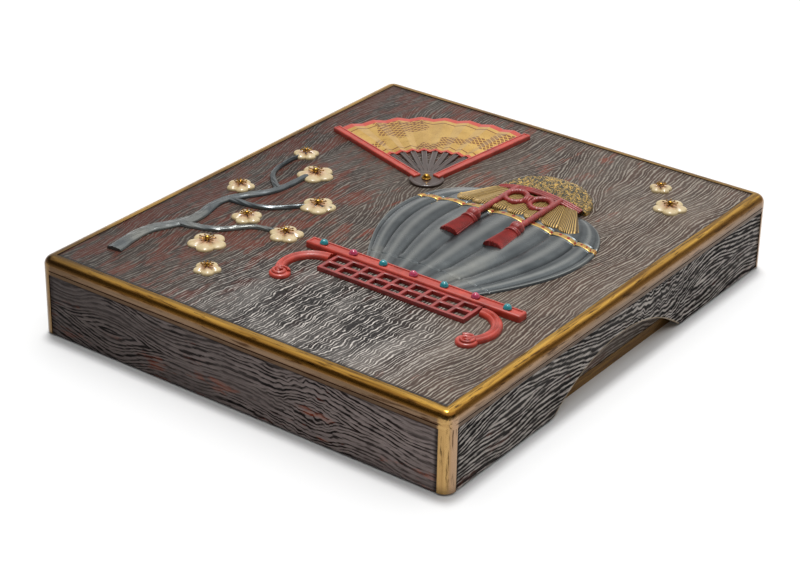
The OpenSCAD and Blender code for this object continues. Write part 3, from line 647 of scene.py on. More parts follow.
# %% Gold strips
BRIGHT, WARM, DEEP_GOLD = ("#835a1e", "#c89c46"), ("#73501b", "#b38a3d"), ("#6a4817", "#a8833a")
gold_across = gold_lacquer("gold_lacquer_x", X, WARM, 0.8)
gold_along = gold_lacquer("gold_lacquer_y", Y, BRIGHT, 0.8)
gold_upright = gold_lacquer("gold_lacquer_z", Z, BRIGHT, 0.8)
foot_across, foot_along, foot_upright = (
    gold_lacquer("gold_foot_" + letter, axis, DEEP_GOLD) for letter, axis in (("x", X), ("y", Y), ("z", Z))
)
bead_gold = gold_lacquer("gold_bead", Z, BRIGHT)

# %% [markdown]
# The pegs under the bottom board are split hardwood, pale and straight-grained. They are seen only when the
# box is turned over, but they are there.

# %% Peg wood
peg_wood, add, surface = new_finish("peg_hardwood")
rays = add("TexNoise", add("TexCoord").outputs["Object"], 1 / (0.6 * MM), 3.0)
pale = add("Mix", rays, "#7d6240", "#b39468", **COLOUR)
add(surface, {"Base Color": pale, "Roughness": 0.6})
print("peg wood ready")

# %% [markdown]
# The boards and mouldings keep their construction shapes, so the finish goes straight into their slots.

# %% Dress the boards and mouldings
def dress(node, finish):
    """Gives a construction solid its finish."""
    nodes[node].data.materials.clear()
    nodes[node].data.materials.append(finish)


dress("lid_top_board", top_cedar)
dress("base_board", floor_cedar)
dress("base_pegs", peg_wood)
for sides, lid_wood, box_wood, lid_gold, foot_gold in (
    (("front", "back"), front_cedar, end_cedar, gold_across, foot_across),
    (("right", "left"), right_cedar, inner_cedar, gold_along, foot_along),
):
    for side in sides:
        dress("lid_side_" + side, lid_wood)
        dress("box_side_" + side, box_wood)
        dress("lid_edge_" + side, lid_gold)
        dress("foot_" + side, foot_gold)
        dress("rim_" + side, foot_gold)
for corner in ("front_right", "back_right", "back_left", "front_left"):
    dress("lid_post_" + corner, gold_upright)
    dress("box_post_" + corner, foot_upright)
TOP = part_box("lid_top_board")[1].z / MM
print("the picture stands on the board at", round(TOP, 2), "mm")

# %% [markdown]
# Every raised piece is a sheet with a carved surface, closed underneath so that it is a real solid. One tool
# lays a grid of quads and moves each corner to where a rule says. A second one draws the rim of that sheet
# down to the board and fills it. Sculpting by hand would give livelier forms, but not the same ones twice.

# %% Carve and seat
SAME_SPOT = 0.001 * MM


def carve(bm, across, along, place):
    """Lays a grid and moves each corner to place(u, v) in mm, with u and v from 0 to 1."""
    weave = bm.loops.layers.uv.verify()
    corners = bmesh.ops.create_grid(bm, x_segments=across, y_segments=along, size=0.5)["verts"]
    spots = {c: (c.co.x + 0.5, c.co.y + 0.5) for c in corners}
    for face in {f for c in corners for f in c.link_faces}:
        for loop in face.loops:
            loop[weave].uv = spots[loop.vert]
    for c, (u, v) in spots.items():
        c.co = Vector(place(u, v)) * MM
    return corners


def corners_in(drawn):
    """The corners among what an extrusion drew."""
    return [part for part in drawn if isinstance(part, bmesh.types.BMVert)]


def open_edges(bm):
    """The edges with a face on one side only."""
    return [e for e in bm.edges if e.is_boundary]


def seat(bm, corners):
    """Draws the open rim of these corners straight down to the board and fills it underneath."""
    bmesh.ops.remove_doubles(bm, verts=corners, dist=SAME_SPOT)
    drawn = bmesh.ops.extrude_edge_only(bm, edges=open_edges(bm))["geom"]
    for c in corners_in(drawn):
        c.co.z = TOP * MM
    bmesh.ops.edgeloop_fill(bm, edges=open_edges(bm))


print("corners closer than", SAME_SPOT / MM, "mm are merged")

# %% [markdown]
# A third tool turns the mesh into a piece that rides on the lid in place of its construction solid. Round
# forms are shaded smooth, and edges that turn by more than an angle stay sharp.

# %% Relief piece
def relief_piece(name, bm, finish, node, sharp=38):
    """Turns the faces outward, shades the mesh and hangs it on the lid in place of a construction solid."""
    bmesh.ops.recalc_face_normals(bm, faces=bm.faces)
    mesh = bpy.data.meshes.new(name)
    bm.to_mesh(mesh)
    bm.free()
    mesh.shade_smooth()
    mesh.set_sharp_from_angle(angle=radians(sharp))
    mesh.materials.append(finish)
    piece = bpy.data.objects.new(name, mesh)
    bpy.context.scene.collection.objects.link(piece)
    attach(piece, "lid")
    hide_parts(node)
    height = max(c.co.z for c in mesh.vertices) / MM - TOP
    print(name, len(mesh.polygons), "faces,", round(height, 1), "mm high")


# %% [markdown]
# The carving rules share four small shapes: a slope that starts at a line and ends after a span, a line that
# is high in its middle and falls off on both sides, a half-round section, and the shallow crown of a plate.

# %% Shapes for carving
def slope(past, span):
    """0 before the line, 1 after the span."""
    return min(1, max(0, past / span))


def line(off, width, power=2):
    """1 on a line, next to nothing at twice its width."""
    return exp(-(off / width) ** power)


def half_round(side):
    """1 in the middle, almost 0 at both sides, where side is -1 and 1."""
    return sqrt(1 - 0.999 * side * side)


def crown_deep(half, rise):
    """How deep the centre lies of a circle that rises by this much over a plate of this half width."""
    return (half * half - rise * rise) / (2 * rise)


def crown(x, half, rise):
    """Height of a shallow crown over a plate of this half width."""
    deep = crown_deep(half, rise)
    return sqrt(half * half + deep * deep - x * x) - deep


print("a crown of 5 mm over 72 mm has its centre", round(crown_deep(72, 5)), "mm deep")

# %% [markdown]
# The jar is lacquer with powdered tin rubbed into it: a soft grey metal, cloudy and a little blue. Its noise
# is in two sizes, clouds of 38 mm and brushed grit of about 1 mm, which is coarser than real powder so that
# it shows. On the jar itself the folds between its lobes are darkened with painted shade and the middle of
# each lobe is paled with a painted highlight, and round its shoulder runs an inlaid gold strip with red dots.
# All three are read from the jar's UV map, which counts round the body and up it.

# %% Lobes and strip of the jar
LOBES = 9
STRIP = (0.735, 0.768)
DOTS = 3 * LOBES


def jar_bands(add, grit, tin):
    """Painted shade in the folds, a painted highlight on the lobes and a dotted gold strip over the tin."""
    round_jar, up_jar, _ = add("SeparateXYZ", add("TexCoord").outputs["UV"]).outputs
    fold = add("Math", round_jar, LOBES, operation="MULTIPLY")
    fold = add("Math", fold, 0.5, operation="PINGPONG")
    # painted shade in the folds between the lobes
    dark = add("MapRange", fold, 0.0, 0.16, 0.6, 0.0, **SMOOTH)
    tin = add("Mix", dark, tin, "#2b2f31", **COLOUR)
    # painted highlight on the middle of each lobe
    lobe_highlight = add("MapRange", fold, 0.25, 0.5, 0, 0.3, **SMOOTH)
    tin = add("Mix", lobe_highlight, tin, "#b4b5b0", **COLOUR)
    off = add("Math", up_jar, sum(STRIP) / 2, operation="SUBTRACT")
    off = add("Math", off, operation="ABSOLUTE")
    off = add("Math", off, (STRIP[1] - STRIP[0]) / 2, operation="DIVIDE")
    inlay = add("Math", off, 1.0, operation="LESS_THAN")
    beat = add("Math", round_jar, DOTS, operation="MULTIPLY")
    beat = add("Math", beat, 0.5, operation="PINGPONG")
    beat = add("Math", beat, 3.6, operation="MULTIPLY")
    away = add("VectorMath", add("CombineXYZ", off, beat), operation="LENGTH")
    dot = add("Math", away, 0.6, operation="LESS_THAN")
    gold = add("Mix", grit, "#8f6a2c", "#d8b264", **COLOUR)
    gold = add("Mix", dot, gold, "#9c2c24", **COLOUR)
    return add("Mix", inlay, tin, gold, **COLOUR)


print(LOBES, "lobes and", DOTS, "dots")

# %% [markdown]
# The tin itself gets its clouds from a ramp of three greys. A ramp is a node too, but its stops aren't
# sockets, so they are set one by one.

# %% Tin lacquer
TIN_GREYS = ((0.3, "#474d50"), (0.74, "#95948d"))
MIDDLE_GREY = (0.52, "#6a6f71")


def tin_lacquer(name, banded=False):
    """Grey tin powder in lacquer, for the jar with its folds and its gold strip."""
    finish, add, surface = new_finish(name)
    spot = add("TexCoord").outputs["Object"]
    cloud = add("TexNoise", spot, 1 / (38 * MM), 3.0, 0.55)
    grit = add("TexNoise", spot, 1 / (1.0 * MM), 3.0, 0.7)
    tin = add("ValToRGB", cloud)
    stops = tin.color_ramp.elements
    for stop, (place, grey) in zip(stops, TIN_GREYS):
        stop.position = place
        stop.color = linear(grey)
    stops.new(MIDDLE_GREY[0]).color = linear(MIDDLE_GREY[1])
    shade = add("Mix", grit, "#9fa1a0", "#eceeee", **COLOUR)
    tin = add("Mix", 0.85, tin, shade, **COLOUR, blend_type="MULTIPLY")
    colour = jar_bands(add, grit, tin) if banded else tin
    dull = add("MapRange", cloud, 0.3, 0.7, 0.32, 0.2)
    bump = add("Bump", {"Height": grit, "Distance": 0.05 * MM, "Strength": 0.5})
    add(surface, {"Base Color": colour, "Roughness": dull, "Normal": bump, "Metallic": 0.65})
    return finish


pewter = tin_lacquer("tin_lacquer")
banded_pewter = tin_lacquer("tin_lacquer_banded", banded=True)
print("tin lacquer ready")

# %% [markdown]
# A tea jar seen from the side: narrow foot, high belly, short neck, its body pressed into lobes like a melon.
# Its outline is a quarter wave up to the belly and a quarter of an ellipse from there to the mouth. The lobes
# sit at equal angles round the jar, so they narrow towards its sides and make the shallow relief look round.
# Lines are cut on both sides of the strip round the shoulder and above the foot.

# %% Outline of the tea jar
JAR_X, JAR_Y, JAR_H = 46, -62, 134
FOOT_R, BELLY_R, MOUTH_R = 41, 72, 30
BELLY_AT = 80.4
PLATE, JAR_RISE = 1.5, 5
JAR_DEEP = crown_deep(BELLY_R, JAR_RISE)


def jar_half(y):
    """Half width of the jar at a height above its foot."""
    if y <= BELLY_AT:
        return FOOT_R + (BELLY_R - FOOT_R) * sin(pi / 2 * y / BELLY_AT)
    up = (y - BELLY_AT) / (JAR_H - BELLY_AT)
    return MOUTH_R + (BELLY_R - MOUTH_R) * sqrt(max(0, 1 - up ** 2))


print("the jar is", 2 * BELLY_R, "mm wide and", JAR_H, "mm tall")

# %% [markdown]
# The rule for its surface goes round the jar by angle and up it by height. The plate bulges like a shallow
# shell, the lobes are pressed into it, and the levels fall a little towards both sides, so that the strip
# seems to run round the body.

# %% Tea jar
CUTS, CUT_W = (97.6, 103.8, 12), 0.55
STRIP_AT, STRIP_W = 100.7, 2.3


def jar_skin(u, v):
    """Surface of the lobed jar."""
    angle = (2 * u - 1) * pi / 2
    side = sin(angle)
    level = v * JAR_H
    y = level - 5 * side * side * sin(pi * v)
    half = jar_half(y)
    x = side * half
    z = PLATE + sqrt(half ** 2 + JAR_DEEP ** 2 - x * x) - JAR_DEEP
    lobe = (angle / pi * LOBES + 0.5) % 1 * 2 - 1
    fade = slope(level - 9, 12) * slope(116 - level, 14)
    z -= 2.1 * (1 - sqrt(1 - 0.97 * lobe * lobe)) * fade * min(1, (z - 0.6) / 3)
    for cut in CUTS:
        z -= 0.55 * line(level - cut, CUT_W)
    z += 0.5 * line(level - STRIP_AT, STRIP_W, 6)
    z -= 1.2 * slope(abs(side) - 0.985, 0.015) ** 2
    return JAR_X + x, JAR_Y + y, TOP + max(z, 0.25)


bm = bmesh.new()
seat(bm, carve(bm, 180, 400, jar_skin))
relief_piece("tea_jar", bm, banded_pewter, "relief_jar", 60)

# %% [markdown]
# The cloth over the jar's mouth is brocade: curling gold tendrils with leaves on a dark olive ground. In
# lacquer it is drawn with a fine brush and gold powder. Drawing each tendril would need hundreds of curves.
# The contour lines of a swirled noise curl just like them, and its peaks make the leaves.

# %% Gold brocade
brocade, add, surface = new_finish("gold_brocade")
spot = add("TexCoord").outputs["Object"]
swirl = add("TexNoise", {"Vector": spot, "Scale": 1 / (4.2 * MM), "Detail": 1.0, "Distortion": 1.4})
from_line = add("Math", swirl, 0.5, operation="SUBTRACT")
from_line = add("Math", from_line, operation="ABSOLUTE")
tendril = add("MapRange", from_line, 0.03, 0.055, 1.0, 0.0)
leaves = add("MapRange", swirl, 0.64, 0.67)
thread = add("Math", tendril, leaves, operation="MAXIMUM")
fray = add("TexNoise", spot, 1 / (1.2 * MM), 4.0, 0.7)
gold = add("Mix", fray, "#a07a34", "#e0b964", **COLOUR)
olive = add("Mix", fray, "#171510", "#45402a", **COLOUR)
colour = add("Mix", thread, olive, gold, **COLOUR)
dull = add("MapRange", thread, 0, 1, 0.55, 0.34)
shine = add("MapRange", thread, 0, 1, 0.0, 0.45)
bump = add("Bump", {"Height": thread, "Distance": 0.2 * MM, "Strength": 0.9})
add(surface, {"Base Color": colour, "Roughness": dull, "Metallic": shine, "Normal": bump})
print("brocade ready")

# %% [markdown]
# The frill is a ribbed gold braid. Its ribs are a wave across the frill's own UV map, so they follow the
# pleats, and dark lacquer lies between them.

# %% Gold braid
RIBS = 70
braid, add, surface = new_finish("gold_braid")
round_frill = add("SeparateXYZ", add("TexCoord").outputs["UV"]).outputs["X"]
rib = add("Math", round_frill, 2 * pi * RIBS, operation="MULTIPLY")
rib = add("Math", rib, operation="SINE")
rib = add("Math", rib, 0.5, 0.5, operation="MULTIPLY_ADD")
fray = add("TexNoise", add("TexCoord").outputs["Object"], 1 / (2.0 * MM), 4.0, 0.65)
gold = add("Mix", fray, "#b08a44", "#e6c47c", **COLOUR)
colour = add("Mix", rib, "#3a2710", gold, **COLOUR)
bump = add("Bump", {"Height": rib, "Distance": 0.4 * MM, "Strength": 1.0})
add(surface, {"Base Color": colour, "Roughness": 0.4, "Metallic": 0.4, "Normal": bump})
print("braid with", RIBS, "ribs")

# %% [markdown]
# The cloth is gathered under the cord. Above it stands a full cap with folds that fade towards the top. Cloth
# simulation would give soft folds, but this is cloth carved in lacquer, so the folds are regular and are
# simply part of the surface rule.

# %% Cap of the cover
NECK_UP = JAR_H + 6.6
CAP_R, CAP_H, CAP_FOLDS = 35, 32, 6
FRILL_T, CLOTH_RISE = 4.6, 2.5


def cap_skin(u, v):
    """Surface of the gathered cap."""
    side = 2 * u - 1
    x = side * CAP_R * sqrt(max(0, 1 - v * v))
    full = sqrt(1 - abs(side) ** 7) * sqrt(1 - v ** 7)
    z = 1.2 + (FRILL_T + crown(x, CAP_R, CLOTH_RISE) - 1.2) * full
    fold = cos(2 * pi * CAP_FOLDS * side + 1.6 * sin(5 * v))
    z += 0.85 * (1 - v) ** 1.1 * full * fold + 0.35 * sin(9 * v + 3 * side) * full * v
    return JAR_X + x, JAR_Y + NECK_UP + v * CAP_H, TOP + z


bm = bmesh.new()
seat(bm, carve(bm, 120, 60, cap_skin))
relief_piece("jar_cover", bm, brocade, "relief_jar_cap", 60)

# %% [markdown]
# Below the cord the cloth opens into a frill. Its pleats end in seven scallops, round arcs that overlap a
# little, and a raised hem runs along them.

# %% Frill
FRILL_R, FRILL_H = 48, 23
CLOTH_NECK = 32.2
SCALLOP_STEP = 2 * FRILL_R / (6 + 1.08)
SCALLOP_R = 1.08 * SCALLOP_STEP / 2


def frill_skin(u, v):
    """Surface of the scalloped frill."""
    side = 2 * u - 1
    hem = side * FRILL_R
    centre = SCALLOP_STEP * max(-3, min(3, round(hem / SCALLOP_STEP)))
    drop = SCALLOP_R * sqrt(max(0, 1 - ((hem - centre) / SCALLOP_R) ** 2))
    x = side * (CLOTH_NECK + (FRILL_R - CLOTH_NECK) * v)
    y = JAR_H - v * (FRILL_H + drop)
    z = FRILL_T + crown(x, FRILL_R, CLOTH_RISE) - 0.4
    z += 0.75 * v ** 0.8 * cos(2 * pi * hem / SCALLOP_STEP)
    z += 0.25 * cos(6 * pi * hem / SCALLOP_STEP) * (1 - v)
    z -= 0.9 * slope(v - 0.93, 0.07) ** 2
    z += 0.45 * line(v - 0.9, 0.025)
    return JAR_X + x, JAR_Y + y, TOP + z


bm = bmesh.new()
seat(bm, carve(bm, 196, 60, frill_skin))
relief_piece("cover_frill", bm, braid, "relief_jar_frill", 60)

# %% [markdown]
# Vermilion lacquer is built up in many thin coats over carved work. It is opaque and glossy, orange-red, with
# a cloudy tone and dark pits where a coat has worn. The clear top coat is the shader's own coat layer, which
# mirrors the room above whatever the red below does.

# %% Vermilion lacquer
def vermilion_lacquer(name, light, deep):
    """Glossy red lacquer with a cloudy tone and dark pits about a millimetre wide."""
    finish, add, surface = new_finish(name)
    spot = add("TexCoord").outputs["Object"]
    cloud = add("TexNoise", spot, 1 / (9 * MM), 4.0, 0.6)
    pits = add("TexNoise", spot, 1 / (1.1 * MM), 3.0, 0.7)
    pit = add("MapRange", pits, 0.6, 0.75, 0, 0.75)
    tone = add("MapRange", cloud, 0.3, 0.7)
    red = add("Mix", tone, deep, light, **COLOUR)
    red = add("Mix", pit, red, "#5b1c14", **COLOUR)
    dull = add("MapRange", cloud, 0, 1, 0.28, 0.5)
    bump = add("Bump", {"Height": pits, "Distance": 0.1 * MM, "Strength": 0.6})
    add(surface, {"Base Color": red, "Roughness": dull, "Normal": bump})
    add(surface, {"Coat Weight": 0.35, "Coat Roughness": 0.2})
    return finish


vermilion = vermilion_lacquer("vermilion_lacquer", "#bf3f2d", "#942818")
crimson = vermilion_lacquer("crimson_lacquer", "#a3302a", "#6f1c18")
print("two reds ready")

# %% [markdown]
# The cord is three strands laid together. Its section has three lobes, and turning that section a little at
# each step along the path lays the strands round each other. A curve object with a bevel would be quicker
# but gives only a smooth hose.

# %% Cord tool
def lay_cord(bm, path, radius, lay, sides=16, strands=3):
    """A laid cord along these points in mm, one ring of corners at each point. A lay is one full turn."""
    run = [0.0]
    for a, b in zip(path, path[1:]):
        run.append(run[-1] + (b - a).length)
    last = len(path) - 1

    def skin(u, v):
        """Surface of the laid strands."""
        i = round(v * last)
        ahead = (path[min(last, i + 1)] - path[max(0, i - 1)]).normalized()
        aside = ahead.cross(Vector((0, 0, 1))).normalized()
        over = aside.cross(ahead)
        turn = 2 * pi * u
        lobe = abs(cos(strands / 2 * (turn - 2 * pi * run[i] / lay)))
        r = radius * (0.78 + 0.22 * lobe ** 0.6)
        return path[i] + (aside * cos(turn) + over * sin(turn)) * r + Vector((0, 0, TOP))

    corners = carve(bm, sides, last, skin)
    bmesh.ops.remove_doubles(bm, verts=corners, dist=2 * SAME_SPOT)
    bmesh.ops.holes_fill(bm, edges=open_edges(bm))


CORD_R, CORD_LAY = 2.2, 7.0
THIN_R, THIN_SIDES = 1.15, 12
print("cord", 2 * CORD_R, "mm thick")

# %% [markdown]
# The same tool makes three wraps round the neck of the cloth, the two loops of the bow, the hanging ends, and
# three short turns that bind the middle of the bow.

# %% Cord
WRAPS_UP = (135.1, 137.3, 139.5)
CORD_Z, DROP_X, LOOP_R = 7.16, 17, 7.48
BOW_Y = JAR_Y + JAR_H - LOOP_R - CORD_R
bm = bmesh.new()
for up in WRAPS_UP:
    wrap = []
    for i in range(129):
        x = CLOTH_NECK * sin(pi * (i / 128 - 0.5))
        wrap.append(Vector((JAR_X + x, JAR_Y + up, FRILL_T - 1.1 + crown(x, CLOTH_NECK, 4.7))))
    lay_cord(bm, wrap, THIN_R, 4.5, THIN_SIDES)
for s in (-1, 1):
    hang = [Vector((JAR_X + s * DROP_X, JAR_Y + 137 - 0.5 * i, CORD_Z)) for i in range(95)]
    lay_cord(bm, hang, CORD_R, CORD_LAY)
    loop = []
    for i in range(97):
        a = 2 * pi * i / 96
        x = JAR_X + s * (LOOP_R + CORD_R) + LOOP_R * cos(a)
        loop.append(Vector((x, BOW_Y + LOOP_R * sin(a), CORD_Z + 0.5 * sin(a))))
    lay_cord(bm, loop, CORD_R, CORD_LAY)
for k in (-1, 0, 1):
    twist = []
    for i in range(25):
        a = pi * (i / 24 - 0.5) * 1.3
        lift = 0.3 if k == 0 else 0
        twist.append(Vector((JAR_X + k * 1.7, BOW_Y + 4.2 * sin(a), CORD_Z + 3.1 * cos(a) - 0.7 + lift)))
    lay_cord(bm, twist, 1.1, 4.0, THIN_SIDES)
relief_piece("laid_cord", bm, crimson, "relief_cord", 70)

# %% [markdown]
# Each hanging end carries a tassel: a bound head and a skirt of threads. Single hairs would cost far too many
# faces for a carved tassel, so the threads are ripples across the skirt, each a little longer or shorter than
# the next.

# %% Tassels
DROP, HEAD_R, SKIRT_H, THREADS = 44, 5.0, 27, 8
TASSEL_Y = JAR_Y + JAR_H - DROP - 5.04
bm = bmesh.new()
for s in (-1, 1):
    middle = JAR_X + s * DROP_X

    def skirt(u, v):
        """Surface of the threads."""
        side = 2 * u - 1
        ragged = noise(Vector((side * 9, s * 5.0, 0)))
        x = side * (4.3 + 2.7 * v ** 0.7)
        y = -SKIRT_H * v + (1.1 * ragged - 0.9) * v ** 6
        z = 5.6 + 3.7 * half_round(side) + 0.28 * cos(2 * pi * THREADS * side) - 0.5 * v
        return middle + x, TASSEL_Y + y, TOP + z

    seat(bm, carve(bm, 96, 36, skirt))
    for band_y, band_r in ((-4.2, 4.9), (-6.2, 5.1)):
        ring = []
        for i in range(49):
            a = pi * i / 48
            ring.append(Vector((middle + band_r * cos(a), TASSEL_Y + band_y, 5.4 + 0.82 * band_r * sin(a))))
        lay_cord(bm, ring, 0.9, 3.5, 10)
    head = bmesh.ops.create_uvsphere(bm, u_segments=48, v_segments=24, radius=HEAD_R * MM)["verts"]
    bmesh.ops.rotate(bm, verts=head, cent=(0, 0, 0), matrix=Matrix.Rotation(pi / 2, 3, "X"))
    for c in head:
        c.co *= 1 + 0.035 * cos(14 * atan2(c.co.z, c.co.x)) * (1 - abs(c.co.y) / (5.2 * MM))
    bmesh.ops.translate(bm, verts=head, vec=Vector((middle, TASSEL_Y, TOP + 7.1)) * MM)
relief_piece("cord_tassels", bm, crimson, "relief_tassels", 60)

# %% [markdown]
# The stand is a low table in vermilion. Its plank is a bar, and so are the fan's sticks and guards later. A
# bar starts as a cube, all its edges but the lowest ones are bevelled, and its top can be inset into a sunk
# panel. Several bars may be in one mesh, so each is found again by the corners that share its faces.

# %% Bar tool
def spread(corners):
    """These corners and all that share a face with one of them."""
    return corners | {w for c in corners for f in c.link_faces for w in f.verts}


def bar(bm, size, place, soft, turn=0.0, panel=None):
    """A bevelled bar of this size in mm, placed by its underside. A panel is its margin and its depth."""
    block = bmesh.ops.create_cube(bm, size=1.0)["verts"]
    bmesh.ops.scale(bm, verts=block, vec=Vector(size) * MM)
    bmesh.ops.translate(bm, verts=block, vec=(0, 0, size[2] / 2 * MM))
    edges = list({e for c in block for e in c.link_edges if not all(w.co.z < SAME_SPOT for w in e.verts)})
    cut = bmesh.ops.bevel(
        bm, geom=edges, offset=soft * MM, segments=3, profile=0.5, affect="EDGES", material=-1,
        clamp_overlap=True,
    )
    whole = spread({c for f in cut["faces"] for c in f.verts} | {c for c in block if c.is_valid})
    if panel:
        faces = {f for c in whole for f in c.link_faces}
        top = max(faces, key=lambda f: (round(f.normal.z, 3), f.calc_area()))
        bmesh.ops.inset_region(bm, faces=[top], thickness=panel[0] * MM, depth=0.0)
        sunk = bmesh.ops.inset_region(bm, faces=[top], thickness=0.35 * MM, depth=-panel[1] * MM)["faces"]
        whole = spread(whole | {c for f in sunk for c in f.verts} | set(top.verts))
    bmesh.ops.rotate(bm, verts=list(whole), cent=(0, 0, 0), matrix=Matrix.Rotation(turn, 3, "Z"))
    bmesh.ops.translate(bm, verts=list(whole), vec=Vector((place[0], place[1], TOP + place[2])) * MM)


STAND_Y = JAR_Y - 9
PLANK_W, PLANK_H = 164, 9
bm = bmesh.new()
bar(bm, (PLANK_W, PLANK_H, 4.5), (JAR_X, STAND_Y + PLANK_H / 2, 0), 1.3, panel=(0.9, 0.5))
relief_piece("stand_plank", bm, vermilion, "relief_stand_plank")

# %% [markdown]
# Under the plank hangs an apron of open lattice. It starts as a grid of nine by two faces: each is inset, the
# middles are deleted, the outer edge is drawn out to the full width of a bar, and what is left is drawn up
# and bevelled. Crossing single bars would leave seams where they meet.

# %% Lattice
APRON_R, APRON_H, APRON_T, BAR = 56, 21, 3, 2.4
END, SIDE = (APRON_R - BAR / 2) * MM, (APRON_H - BAR) / 2 * MM


def at_rim(c):
    """Whether a corner lies on an end, and whether it lies on a long side."""
    return abs(abs(c.co.x) - END) < SAME_SPOT, abs(abs(c.co.y) - SIDE) < SAME_SPOT


bm = bmesh.new()
bmesh.ops.create_grid(bm, x_segments=9, y_segments=2, size=0.5)
bmesh.ops.scale(bm, verts=bm.verts, vec=(2 * END, 2 * SIDE, MM))
holes = bm.faces[:]
bmesh.ops.inset_individual(bm, faces=holes, thickness=BAR / 2 * MM, use_even_offset=True)
print("lattice with", len(holes), "openings")
bmesh.ops.delete(bm, geom=holes, context="FACES_ONLY")
outer = [e for e in open_edges(bm) if all(any(at_rim(c)) for c in e.verts)]
for c in corners_in(bmesh.ops.extrude_edge_only(bm, edges=outer)["geom"]):
    on_end, on_side = at_rim(c)
    c.co.x += copysign(BAR / 2 * MM, c.co.x) if on_end else 0
    c.co.y += copysign(BAR / 2 * MM, c.co.y) if on_side else 0
raised = corners_in(bmesh.ops.extrude_face_region(bm, geom=bm.faces[:])["geom"])
bmesh.ops.translate(bm, verts=raised, vec=(0, 0, APRON_T * MM))
bmesh.ops.recalc_face_normals(bm, faces=bm.faces)
upper = [e for e in bm.edges if all(c.co.z > 0.9 * APRON_T * MM for c in e.verts)]
arris = [e for e in upper if e.calc_face_angle(0) > 1]
bmesh.ops.bevel(bm, geom=arris, offset=0.5 * MM, segments=2, profile=0.5, affect="EDGES", material=-1)
bmesh.ops.translate(bm, verts=bm.verts, vec=Vector((JAR_X, STAND_Y - APRON_H / 2, TOP)) * MM)
relief_piece("stand_lattice", bm, crimson, "relief_stand_apron")

# %% [markdown]
# The legs swing out under the plank's ends and curl into scrolls. A leg is a half-round ribbon bent round an
# arc, with a raised vein along its middle. The scroll is a spiral of plain cord on a small boss, like the
# volute of a carved bracket.

# %% Scrolled legs
LEG_X, LEG_R, LEG_HALF, LEG_TURN = 58, 24, 4, radians(140)
BOSS_R, SCROLL_TURNS, NO_LAY = 6.9, 1.7, 1e6
bm = bmesh.new()
for s in (-1, 1):
    def leg(u, v):
        """Surface of a half-round leg with its vein."""
        side = 2 * u - 1
        a = LEG_TURN * v
        r = LEG_R - LEG_HALF + side * (LEG_HALF - 0.8 * v)
        z = 1.0 + 2.8 * half_round(side) + 0.5 * line(side, 0.16) - 0.3 * line(abs(side) - 0.4, 0.1)
        return JAR_X + s * (LEG_X + r * sin(a)), STAND_Y - LEG_R + r * cos(a), TOP + z

    seat(bm, carve(bm, 40, 70, leg))
    reach = LEG_R - LEG_HALF
    curl = Vector((JAR_X + s * (LEG_X + reach * sin(LEG_TURN)), STAND_Y - LEG_R + reach * cos(LEG_TURN), 0))

    def boss(u, v):
        """Surface of the boss under a scroll."""
        a = 2 * pi * u
        return curl.x + BOSS_R * v * cos(a), curl.y + BOSS_R * v * sin(a), TOP + 1.6 + 1.1 * half_round(v * v)

    seat(bm, carve(bm, 48, 10, boss))
    spiral = []
    for i in range(121):
        t = i / 120
        a = s * (2.6 - 2 * pi * SCROLL_TURNS * t) + (0 if s > 0 else pi)
        spiral.append(curl + Vector(((5.5 - 4.4 * t) * cos(a), (5.5 - 4.4 * t) * sin(a), 2.7)))
    lay_cord(bm, spiral, 1.25, NO_LAY, THIN_SIDES)
relief_piece("stand_legs", bm, vermilion, "relief_stand_legs", 50)

# %% [markdown]
# The fan's leaf is paper faced with gold leaf, which is cloudy and a little worn. Drifting clouds on it are
# filled with a net of gold lines, two hairlines run round the leaf, and a vermilion border follows its inner
# and its outer edge. The pattern reads the leaf's own UV map, where one direction runs round the fan and the
# other from the inner edge to the outer one.

# %% Clouds and net of the leaf
leaf_gold, add, surface = new_finish("gold_leaf_paper")
paper = add("TexCoord").outputs["UV"]
round_fan, up_fan, _ = add("SeparateXYZ", paper).outputs
spot = add("TexCoord").outputs["Object"]
cloud = add("TexNoise", spot, 1 / (14 * MM), 4.0, 0.62)
grit = add("TexNoise", spot, 1 / (1.2 * MM), 3.0, 0.7)
worn = add("MapRange", grit, 0.58, 0.74, 0, 0.7)
gold = add("Mix", cloud, "#a67a30", "#e2be70", **COLOUR)
gold = add("Mix", worn, gold, "#6d4818", **COLOUR)
drift = add("Mapping", {"Vector": paper, "Scale": (3.0, 2.2, 1)})
mist = add("TexNoise", drift, 1.0, 1.0)
mist = add("MapRange", mist, 0.5, 0.52, 0, 0.9, **SMOOTH)
net_x = add("Math", round_fan, 24.0, operation="MULTIPLY")
net_y = add("Math", up_fan, 14.0, operation="MULTIPLY")
rising = add("Math", add("Math", net_x, net_y, operation="ADD"), 0.5, operation="PINGPONG")
falling = add("Math", add("Math", net_x, net_y, operation="SUBTRACT"), 0.5, operation="PINGPONG")
net = add("Math", rising, falling, operation="MINIMUM")
net = add("MapRange", net, 0.07, 0.15, 1.0, 0.0)
filled = add("Mix", net, "#74401c", "#d4ab58", **COLOUR)
gold = add("Mix", mist, gold, filled, **COLOUR)
print("gold leaf with clouds")

# %% [markdown]
# The hairlines and the border are distances along the second direction. Only the gold is metal, so the border
# takes the metal away where it lies.

